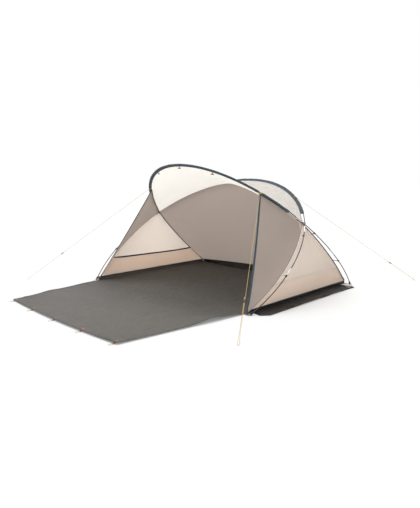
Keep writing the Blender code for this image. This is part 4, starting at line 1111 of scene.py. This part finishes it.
def build_clips():
    """A black snap clip on the rod, on a beige webbing strap from the seam; two on each leg."""
    inner = POLE_RADIUS + TOUCH
    outer = inner + CLIP_WALL
    mouth = math.radians(CLIP_MOUTH)
    angles = np.linspace(mouth, TURN - mouth, 25)
    back = np.stack([-np.cos(angles), np.sin(angles)], 1)
    sections = []
    for grow in (0.6, 0.95, 1.0, 1.0, 0.95, 0.6):
        lip = np.array([[0.0, 0.0015 * grow]])
        sections.append(np.concatenate([back[::-1] * inner, back[:1] * inner - lip,
                                        back * (inner + (outer - inner) * grow), back[-1:] * inner + lip]))
    places = CLIP_LENGTH / 2 * np.array([-1.0, -0.94, -0.8, 0.8, 0.94, 1.0])
    for hoop, label, arcs, seam in ((REAR_HOOP, "rear", REAR_HOOP_CLIP_ARCS, REAR_LEG_SEAM),
                                    (FRONT_HOOP, "front", FRONT_HOOP_CLIP_ARCS, FRONT_LEG_SEAM)):
        for arc, level in zip(arcs, ("low", "high")):
            reach = seam_distance(hoop, arc, seam)
            rod, tangent, inward = hoop.at(arc)
            bar = [rod + inward * (outer - 0.001 + 0.004 * k) for k in range(3)]
            strap = [rod + inward * (outer + 0.003 + (reach - outer - 0.001) * t)
                     + hoop.across * 0.0015 * math.sin(6.0 * t) for t in shares(8)]
            parts = [swept(hoop_ring(hoop, arc + places, np.array(sections))[:, ::-1], BLACK_PLASTIC),
                     tube_part(bar, CLIP_BAR_RADIUS, BLACK_PLASTIC, 12, tangent, squash=0.7),
                     strip_part(strap, tangent, CLIP_STRAP_WIDTH, STRAP_THICKNESS, BEIGE_WEBBING),
                     strip_part(strap[-3:], tangent, CLIP_STRAP_WIDTH + 0.004, HEM_TAPE_THICKNESS,
                                BEIGE_WEBBING)]
            node = "clip_" + label + "_hoop_{}_" + level
            joined_pair(node + "_piece", parts, "black_plastic", node)


# Ground pieces
def floor_half(share):
    return FLOOR_FRONT_HALF + (FLOOR_REAR_HALF - FLOOR_FRONT_HALF) * share


def add_laid(name, x, y, height, thickness, finish, stands_for, flip=1.0, body="shelter"):
    """A sheet laid on the ground, a thickness above it and raised by its folds."""
    add_cloth(name, np.dstack([x, y, thickness + height]) * flip, np.dstack([x, y, 0 * x]), finish,
              "ground_sheet", stands_for, "ground", thickness=thickness, held="laid", body=body)


def tub_wall(low, high, waves, uneven, outwards, seed):
    """A low wall from its foot to its rim, as drawn flat and as it bulges outwards."""
    across = shares(8)
    flat = between(low, high, across)
    folds = layered(np.linspace(0, waves, len(low))[:, None], across[None, :] * 2.0, seed)
    push = np.sin(math.pi * across)[None, :] * (TUB_BULGE + uneven * folds)
    return flat, flat + outwards * push[..., None]


def build_floor():
    """Groundsheet, and its low walls at both sides and along the bowed rear edge."""
    s = np.linspace(-1.0, 1.0, FLOOR_COLUMNS + 1)[None, :]
    t = shares(FLOOR_ROWS)[:, None]
    x = floor_half(t) * s
    y = FRONT_Y + (REAR_Y - TUB_REAR_BOW * (1 - s ** 2) - FRONT_Y) * t
    fade = smooth((1 - np.abs(s)) * 9) * smooth((1 - t) * 12) * smooth(t * 14)
    height = 0.006 * smooth(layered(x * 1.5, y * 1.5 + 0.2 * x, 101) * 0.8)
    height += 0.009 * ridged(x * 1.1 + 0.3 * y, y * 1.9, 103) * smooth(layered(x, y, 107, 2) + 0.4)
    add_laid("floor_sheet", x, y, height * fade, SHEET_THICKNESS, SHADED_FLOOR_CLOTH, "tub_floor")
    sewn = "ground_sheet", "tub_floor", "floor_sheet"
    front = np.array([FLOOR_FRONT_HALF, FRONT_Y, TUB_FOOT_LEVEL])
    rear = np.array([FLOOR_REAR_HALF, REAR_Y, TUB_FOOT_LEVEL])
    low, high = line(front, rear, RIM_STEPS), line(RIM_FRONT, RIM_REAR, RIM_STEPS)
    flat, side = tub_wall(low, high, 14, 0.003, SIDEWAYS, 111)
    # Outer faces in the near-black tub cloth, inner faces in the floor cloth; both carry painted shade
    for label, flip, finish, lining in (("right", 1.0, DARK_SHADED_TUB_CLOTH, SHADED_FLOOR_CLOTH),
                                        ("left", MIRROR, SHADED_FLOOR_CLOTH, DARK_SHADED_TUB_CLOTH)):
        add_cloth("tub_wall_" + label, side * flip, flat, finish, *sewn, lining=lining,
                  thickness=SHEET_THICKNESS)
    low = line(rear, rear * MIRROR, RIM_FINER * REAR_STATIONS, -AHEAD * TUB_REAR_BOW)
    flat, back = tub_wall(low, upsampled(REAR_RIM, RIM_FINER), 16, 0.004, 0.8 * AHEAD - 0.3 * UP, 113)
    back[..., 2] = np.maximum(back[..., 2], 0.0008)
    add_cloth("tub_wall_rear", back, flat, DARK_SHADED_TUB_CLOTH, *sewn, thickness=SHEET_THICKNESS)


def apron_edge(share):
    x = APRON_TIP_HALF * (2 * share - 1)
    reach = APRON_LENGTH_LEFT + (APRON_LENGTH_RIGHT - APRON_LENGTH_LEFT) * share
    return x, FRONT_Y - reach - APRON_BULGE * 4 * share * (1 - share)


def build_apron():
    """Fold-out sheet on the sand, with a bound edge, and five tabs with loops for pegs."""
    share, out = shares(APRON_COLUMNS)[None, :], shares(APRON_ROWS)[:, None]
    tip_x, tip_y = apron_edge(share)
    x = APRON_ROOT_HALF * (2 * share - 1) * (1 - out) + tip_x * out
    y = (FRONT_Y - TOUCH) * (1 - out) + tip_y * out
    height = 0.005 * smooth(layered(x * 1.7 + 0.3 * y, y * 1.7, 121) * 0.9)
    height += 0.011 * ridged(x * 0.8 + 0.2 * y, y * 2.4, 123) * smooth(layered(x, y, 125, 2) + 0.5)
    ripples = np.abs(np.sin(TURN * (y * 7.0 + 0.8 * field(x * 3, y * 3, 127))))
    height += 0.0026 * ripples * smooth(1.3 * field(x * 2, y * 2, 129))
    flat = np.dstack([x, y, 0 * x])
    for row, column, ahead, seed in ((-1, 0, AHEAD, 151), (-1, -1, AHEAD, 153), (0, 0, -AHEAD, 155)):
        height += 0.00225 * (1 + fan(flat, flat[row, column], SIDEWAYS, ahead, 9.0, seed, 0.5))
    raised = np.exp(-((out - 0.28) / 0.11) ** 2) * smooth((share - 0.90) / 0.10)
    curl = np.exp(-((out - 0.62) / 0.10) ** 2) * smooth((0.05 - share) / 0.05)
    height = height * smooth(out * 16) + 0.018 * raised + 0.008 * curl
    add_laid("apron_sheet", x, y, height, SHEET_THICKNESS, APRON_CLOTH, "apron", body="apron")
    grid = np.dstack([x, y, SHEET_THICKNESS + height])
    border = np.concatenate([grid[:, 0], grid[-1, 1:-1], grid[::-1, -1]])
    inner = np.concatenate([grid[:, 1], grid[-2, 1:-1], grid[::-1, -2]])
    inward = unit(inner - border)
    parts = [strip_part(border + inward * APRON_HEM_WIDTH / 2 + UP * 0.0008, inward, APRON_HEM_WIDTH,
                        APRON_HEM_THICKNESS, DARK_TAPE)]
    for k in range(PEG_LOOPS):
        place = PEG_LOOP_MARGIN + (1 - 2 * PEG_LOOP_MARGIN) * k / (PEG_LOOPS - 1)
        px, py = apron_edge(place)
        top = grid[-12, int(round(place * APRON_COLUMNS)), 2]
        tab = [(px, py + ahead, level) for ahead, level in (
            (0.034, top + 0.0014), (0.020, top + 0.0022), (0.006, 0.0036),
            (-0.006, 0.0032), (-0.012, 0.0026), (-0.006, 0.0014))]
        parts.append(strip_part(upsampled(tab, 4), SIDEWAYS, PEG_TAB_WIDTH, WEBBING_THICKNESS,
                                ORANGE_WEBBING))
        wide, long = np.cos(turns(36)), squared(np.sin(turns(36)), 0.8)
        loop = np.stack([px + 0.009 * wide, py - 0.026 + 0.016 * long, 0.0030 + 0.0006 * wide], 1)
        parts.append(tube_part(loop, PEG_CORD_RADIUS, PALE_WEBBING, ring=True))
    joined("apron_trim", parts, "orange_webbing", None, "apron")


def build_sand_flaps():
    """Ground strips outside the side walls, with the rear corner turned over."""
    front, rear = FRONT_Y + FLAP_CLEAR, REAR_Y - FLAP_CLEAR
    outer = FLOOR_FRONT_HALF + FLAP_WIDTH
    half = FLAP_CHAMFER / 2
    edge = np.array([(outer - FLAP_CHAMFER, front - half), (outer, front + half),
                     (outer - 0.008, rear - FLAP_WIDTH), (outer - 0.002, rear - 0.030),
                     (outer - 0.034, rear)])
    along = lengths_along(edge)
    far = points_at(shares(FLAP_ROWS) * along[-1], along, edge)
    near_y = front + (rear - front) * shares(FLAP_ROWS)
    near = np.stack([floor_half((near_y - FRONT_Y) / FLOOR_DEPTH) + 0.003, near_y], 1)
    across = shares(FLAP_COLUMNS)
    x, y = between(near, far, across).transpose(2, 0, 1)
    corner = (outer, rear) - np.array([(0.006, 0.135), (0.036, 0.004), (0.128, 0.036)])
    for (label, flip), seed in zip(SIDES, (131, 141)):
        height = 0.005 * smooth(layered(x * 5, y * 3, seed)) + 0.006 * ridged(x * 4, y * 4.5, seed + 4)
        height = height * smooth(across[None, :] * 6)
        add_laid("sand_flap_cloth_" + label, x, y, height, CANOPY_THICKNESS, FLAP_CLOTH,
                 "sand_flap_" + label, flip)
        fold = plate_part(rounded(corner * flip[:2], 0.012), *FLAP_FOLD_LEVELS, FLAP_UNDER)
        joined("sand_flap_fold_" + label, [fold], "ground_sheet")


def build_anchors():
    """Webbing corner with a cup for the rod's end, an eyelet ring and a sewn tab, at each foot."""
    half = ANCHOR_WIDTH / 2
    for label, hoop, half_width, floor_y, away in (("front", REAR_HOOP, FLOOR_FRONT_HALF, FRONT_Y, -1.0),
                                                   ("rear", FRONT_HOOP, FLOOR_REAR_HALF, REAR_Y, 1.0)):
        arc = foot_arc(hoop)
        foot = hoop.at(arc)[0]
        inner_x, outer_x, near_y = half_width + 0.0013, foot[0] + half / 2, floor_y + away * TOUCH * 2
        outline = np.array([(inner_x, near_y - away * half), (inner_x, near_y + away * half / 2),
                            (outer_x, foot[1] + away * half / 2), (outer_x, foot[1] - away * half / 2)])
        low, high = CUP_START, arc + ANCHOR_CUP_LENGTH
        arcs = [low, low + 0.001, high - 0.004, high - 0.003, high - 0.001, high]
        outer = round_sections(ANCHOR_CUP_RADIUS * np.array([0.95, 1.0, 1.0, 1.12, 1.12, 1.05]), 20)
        inner = round_sections(np.full(6, POLE_RADIUS + CUP_CLEARANCE), 20)
        cup = np.concatenate([hoop_ring(hoop, arcs, outer), hoop_ring(hoop, arcs, inner)[::-1]])
        ring_at = np.array([outer_x + 0.001, foot[1] + away * 0.004, 0.0030])
        tab = [(half_width + 0.006 + 0.004 * k, floor_y + away * (0.002 + 0.003 * k), 0.0030)
               for k in range(4)]
        parts = [plate_part(rounded(outline, 0.005), *PLATE_LEVELS, GREY_WEBBING, 0.0007),
                 swept(cup, BLACK_PLASTIC, True),
                 tube_part(circle(ring_at, SIDEWAYS, AHEAD, EYELET_RADIUS), EYELET_WIRE, STEEL, ring=True),
                 strip_part(tab, (-0.6 * away, 0.8, 0.0), CLIP_STRAP_WIDTH, WEBBING_THICKNESS,
                            ORANGE_WEBBING)]
        joined_pair("anchor_" + label + "_{}_piece", parts, "webbing", "anchor_" + label + "_{}")


# Small fittings
def build_toggles():
    """Crossbars on short straps under the front hoop."""
    arch = np.linspace(FRONT_GUY_ARC, FRONT_HOOP.length - FRONT_GUY_ARC, ARCH_STATIONS + 1)
    steps = np.array([-1, -0.97, -0.90, -0.78, -0.30, -0.22, 0.22, 0.30, 0.78, 0.90, 0.97, 1])
    swell = np.array([0.35, 0.68, 0.90, 1.0, 0.97, 0.78, 0.78, 0.97, 1.0, 0.90, 0.68, 0.35])
    for name, station in (("toggle_left", 4), ("toggle_middle", 0), ("toggle_right", -4)):
        arc = arch[ARCH_STATIONS // 2 + station]
        top = FRONT_HOOP.edge(arc, SLEEVE_REACH) + FRONT_HOOP.across * SLEEVE_TIP - UP * 2 * TOUCH
        bottom = top - UP * TOGGLE_STRAP
        level = unit(FRONT_HOOP.at(arc)[1] * (1.0, 1.0, 0.0))
        side = np.cross(level, UP)
        bar = bottom + level * steps[:, None] * TOGGLE_LENGTH / 2
        parts = [tube_part(bar, TOGGLE_RADIUS * swell, BROWN_PLASTIC, 18)]
        straps = [(circle(bottom, UP, side, TOGGLE_RADIUS * 0.95), True)]
        for shift in (-0.0006, 0.0006):
            straps.append(([top - UP * t * (TOGGLE_STRAP - TOGGLE_RADIUS) + side * shift
                            for t in shares(6)], False))
        parts += [strip_part(path, level, TOGGLE_STRAP_WIDTH, 0.0010, ORANGE_WEBBING, ring)
                  for path, ring in straps]
        joined(name + "_piece", parts, "orange_webbing", name, name)


def guy_route(start, end, down, side, runner):
    """Down from the rod through the runner, round the ground loop and back up to the runner."""
    length = float((end - start) @ down)
    route = [start + down * place for place in np.linspace(0.0, length, CORD_STATIONS + 1)
             if place < length - CORD_LEAD]
    route.append(end - down * CORD_LEAD)
    centre = end - down * CORD_LOOP_RADIUS + side * CORD_PITCH / 2
    for angle in np.linspace(0.0, math.pi, LOOP_STEPS + 1):
        route.append(centre + CORD_LOOP_RADIUS * (down * math.sin(angle) - side * math.cos(angle)))
    for back in np.linspace(CORD_LEAD, runner + RUNNER_LENGTH / 2 + TAIL_LENGTH, RETURN_STEPS + 1):
        route.append(end - down * back + side * CORD_PITCH)
    return np.array(route)


def build_guy_line(label, hoop, arc, foot, flip, runner):
    tie, tangent, inward = (value * flip for value in hoop.at(arc))
    near = min(abs(arc - cut) for cut in section_cuts(hoop)[1:-1])
    radius = FERRULE_RADIUS if near < FERRULE_LENGTH / 2 else POLE_RADIUS
    end = np.array([*foot, CORD_RADIUS + TOUCH])
    down = unit(end - tie)
    slant = abs(float(down @ tangent))
    start = tie + down * (radius + TOUCH + CORD_RADIUS * slant) / math.sqrt(1 - slant ** 2)
    down = unit(end - start)
    side = unit(np.cross(down, UP))
    route = guy_route(start, end, down, side, runner)
    curve = bpy.data.curves.new("guy_line_" + label, "CURVE")
    curve.dimensions = "3D"
    curve.bevel_depth = CORD_RADIUS
    curve.bevel_resolution = 3
    curve.use_fill_caps = True
    spline = curve.splines.new("POLY")
    spline.points.add(len(route) - 1)
    turn = Matrix((side, np.cross(down, side), down)).transposed()
    for point, place in zip(spline.points, (route - start) @ np.array(turn)):
        point.co = (*place, 1.0)
    curve.materials.append(CORD)
    cord = shown("guy_cord_" + label, curve)
    cord.matrix_world = Matrix.Translation(Vector(start)) @ turn.to_4x4()
    settled(cord, "cord", "guy_line_" + label)
    with_pieces = [build_runner(label, end - down * runner + side * CORD_PITCH / 2, down, side),
                   stopper(label, route[-1], down, side),
                   guy_tie(label, tie, tangent, inward, start, down, radius)]


def stopper(label, end, down, side):
    """Overhand knot at the cord's end, above the runner."""
    up = np.cross(side, down)
    path = [end + (np.sin(t) + 2 * np.sin(2 * t)) * KNOT_SIZE * side
            + (np.cos(t) - 2 * np.cos(2 * t)) * KNOT_SIZE * up - np.sin(3 * t) * 2 * KNOT_SIZE * down
            for t in turns(40)]
    knot = tube_part(path, KNOT_CORD_RADIUS, CORD_MESH, 8, down, True)
    return joined("guy_end_knot_" + label, [knot], "cord")


def guy_tie(label, tie, tangent, inward, start, down, radius):
    """Turns of cord round the rod, a half hitch, and the two webbing keepers beside them."""
    u = unit(np.cross(tangent, UP))
    v = np.cross(tangent, u)
    parts = []
    for shift in (-TIE_SHIFT, 0.0, TIE_SHIFT):
        ring = circle(tie + tangent * shift, u, v, radius + CORD_RADIUS, 28)
        parts.append(tube_part(ring, CORD_RADIUS * 0.96, CORD_MESH, 8, tangent, True))
    across = unit(np.cross(down, tangent))
    for turn, place in ((0.5, 0.003), (-0.5, 0.0065)):
        lean = unit(across + turn * tangent)
        ring = circle(start + down * place, lean, unit(np.cross(lean, down)), HITCH_RADIUS, 20)
        parts.append(tube_part(ring, HITCH_CORD_RADIUS, CORD_MESH, 8, down, True))
    for shift in (-KEEPER_SHIFT, KEEPER_SHIFT):
        band = circle(tie + tangent * shift, u, v, radius + 0.0016, 28)
        parts.append(strip_part(band, tangent, KEEPER_WIDTH, BAND_THICKNESS, YELLOW_WEBBING, True))
    tab = [tie + inward * (radius + 0.0018 + (SLEEVE_REACH - radius) * t) for t in shares(5)]
    parts.append(strip_part(tab, tangent, GUY_TAB_WIDTH, STRAP_THICKNESS, BROWN_WEBBING))
    return joined("guy_tie_" + label, parts, "cord")


def build_runner(label, middle, down, side):
    """Flat two-hole runner with a waist and softened ends."""
    up = np.cross(side, down)
    u = squared(np.cos(turns(28)), 0.55)[:, None] * RUNNER_WIDTH / 2 * side
    v = squared(np.sin(turns(28)), 0.55)[:, None] * RUNNER_THICKNESS / 2 * up
    half = [(0.10, 0.86, 0.94), (0.30, 1.0, 1.0), (0.44, 0.95, 0.97), (0.485, 0.84, 0.86),
            (0.5, 0.72, 0.70)]
    rings = [middle + down * shift * RUNNER_LENGTH + u * wide - v * thick
             for shift, wide, thick in [(-shift, *size) for shift, *size in half[::-1]] + half]
    node = "runner_" + label
    made = joined("runner_body_" + label, [swept(rings, BLACK_PLASTIC)], "black_plastic", node, node)
    for shift in (-CORD_PITCH / 2, CORD_PITCH / 2):
        path = [middle + side * shift + down * k * RUNNER_LENGTH for k in (-1.0, 1.0)]
        points, faces, _, _ = tube_part(path, CORD_RADIUS + RUNNER_FIT, BLACK_PLASTIC, 20, up)
        hole = bpy.data.meshes.new("bore")
        hole.from_pydata(points.tolist(), [], facing_out(points, faces))
        cut = made.modifiers.new("bore", "BOOLEAN")
        cut.operation = "DIFFERENCE"
        cut.solver = "EXACT"
        cut.object = shown("bore", hole)
        mesh = bpy.data.meshes.new_from_object(made.evaluated_get(bpy.context.evaluated_depsgraph_get()))
        bpy.data.objects.remove(cut.object, do_unlink=True)
        made.modifiers.clear()
        made.data = mesh
    return made


def build_guy_lines():
    """Each from its place on a hoop to its foot on the ground, with its runner's distance from there."""
    for label, hoop, arc, foot, flip, runner in (
            ("front_left", FRONT_HOOP, FRONT_GUY_ARC, (-1.589, -1.297), MIRROR, 0.465),
            ("front_right", FRONT_HOOP, FRONT_GUY_ARC, (1.441, -1.437), 1.0, 0.385),
            ("rear_right", REAR_HOOP, REAR_GUY_ARC, (1.453, 1.460), 1.0, 0.365),
            ("rear_left", REAR_HOOP, REAR_GUY_ARC, (-1.453, 1.460), MIRROR, 0.365)):
        build_guy_line(label, hoop, arc, foot, flip, runner)


def build_crossings():
    """Where the rods cross: a taupe strap round both, and its tail, sewn on below the ceiling."""
    inner, outer = REAR_HOOP.at(REAR_CROSSING_ARC)[0], FRONT_HOOP.at(FRONT_CROSSING_ARC)[0]
    middle = (inner + outer) / 2
    spread = abs(outer[0] - inner[0]) / 2 + FERRULE_RADIUS + 0.0016
    wide, deep = squared(np.cos(turns(40)), 0.7), squared(np.sin(turns(40)), 0.7)
    band = middle + np.stack([spread * wide, CROSSING_STRAP_HALF * deep, 0 * wide], 1)
    tail = [middle + np.array([-spread - 0.001 - 0.004 * k, 0.0, -0.001 * k]) for k in range(5)]
    tail_widths = np.array([0.016, 0.018, 0.021, 0.026, 0.032])
    parts = [strip_part(band, UP, CROSSING_STRAP_WIDTH, BAND_THICKNESS, TAUPE_WEBBING, True),
             strip_part(tail, UP, tail_widths, BAND_THICKNESS, TAUPE_WEBBING)]
    joined_pair("crossing_strap_{}", parts, "webbing")


# Stage, light and camera
def seen_rays(tree):
    """1 for the rays that show a backdrop itself, or its mirror image, else 0."""
    rays = add_node(tree, "LightPath").outputs
    both = rays["Is Camera Ray"]
    for kind in ("Is Glossy Ray", "Is Transmission Ray"):
        both = add_node(tree, "Math", both, rays[kind], operation="MAXIMUM").outputs[0]
    return both


def by_ray(tree, unseen, seen):
    levels = {"Value": seen_rays(tree), "To Min": unseen, "To Max": seen}
    return add_node(tree, "MapRange", named=levels).outputs[0]


def build_stage():
    mesh = bpy.data.meshes.new("ground")
    corners = [(x * STAGE_HALF, y * STAGE_HALF, STAGE_LEVEL)
               for x, y in ((-1, -1), (1, -1), (1, 1), (-1, 1))]
    mesh.from_pydata(corners, [], [(0, 1, 2, 3)])
    white = bpy.data.materials.new("stage_white")
    white.use_nodes = True
    tree = white.node_tree
    for key, value in {"Roughness": 1.0, "Specular IOR Level": 0.0, "Emission Color": (1.0, 1.0, 1.0, 1.0),
                       "Base Color": by_ray(tree, STAGE_WHITE, STAGE_SEEN),
                       "Emission Strength": by_ray(tree, 0.0, STAGE_GLOW)}.items():
        join(tree, value, tree.nodes["Principled BSDF"].inputs[key])
    mesh.materials.append(white)
    shown("stage_floor", mesh)


def build_light():
    world = bpy.data.worlds.new("studio")
    bpy.context.scene.world = world
    world.use_nodes = True
    tree = world.node_tree
    tree.nodes.clear()
    sky = add_node(tree, "Background", (1.0, 1.0, 1.0, 1.0), SKY_LEVEL)
    add_node(tree, "OutputWorld", sky.outputs[0])
    light = bpy.data.lights.new("key", "SUN")
    light.energy = SUN_STRENGTH
    light.angle = math.radians(SUN_SPREAD)
    shown("key", light).rotation_euler = Vector(SUN_FROM).to_track_quat("Z", "Y").to_euler()


def build_camera():
    azimuth, pitch = math.radians(CAMERA_AZIMUTH), math.radians(CAMERA_PITCH)
    data = bpy.data.cameras.new("camera")
    data.sensor_width = 36.0
    data.lens = CAMERA_LENS
    data.clip_end = 200.0
    camera = shown("camera", data)
    camera.location = CAMERA_AT
    level = math.cos(pitch)
    back = Vector((math.sin(azimuth) * level, -math.cos(azimuth) * level, math.sin(pitch)))
    camera.rotation_euler = back.to_track_quat("Z", "Y").to_euler()
    bpy.context.scene.camera = camera
    bpy.context.scene.view_settings.view_transform = "Standard"


build_camera()
build_light()
build_stage()
build_guy_lines()
build_ceiling()
build_back_wall()
build_side_walls()
build_wings()
build_shoulder_strips()
build_pockets()
build_seams()
build_sleeves()
build_rods()
build_clips()
build_floor()
build_apron()
build_sand_flaps()
build_anchors()
build_toggles()
build_crossings()
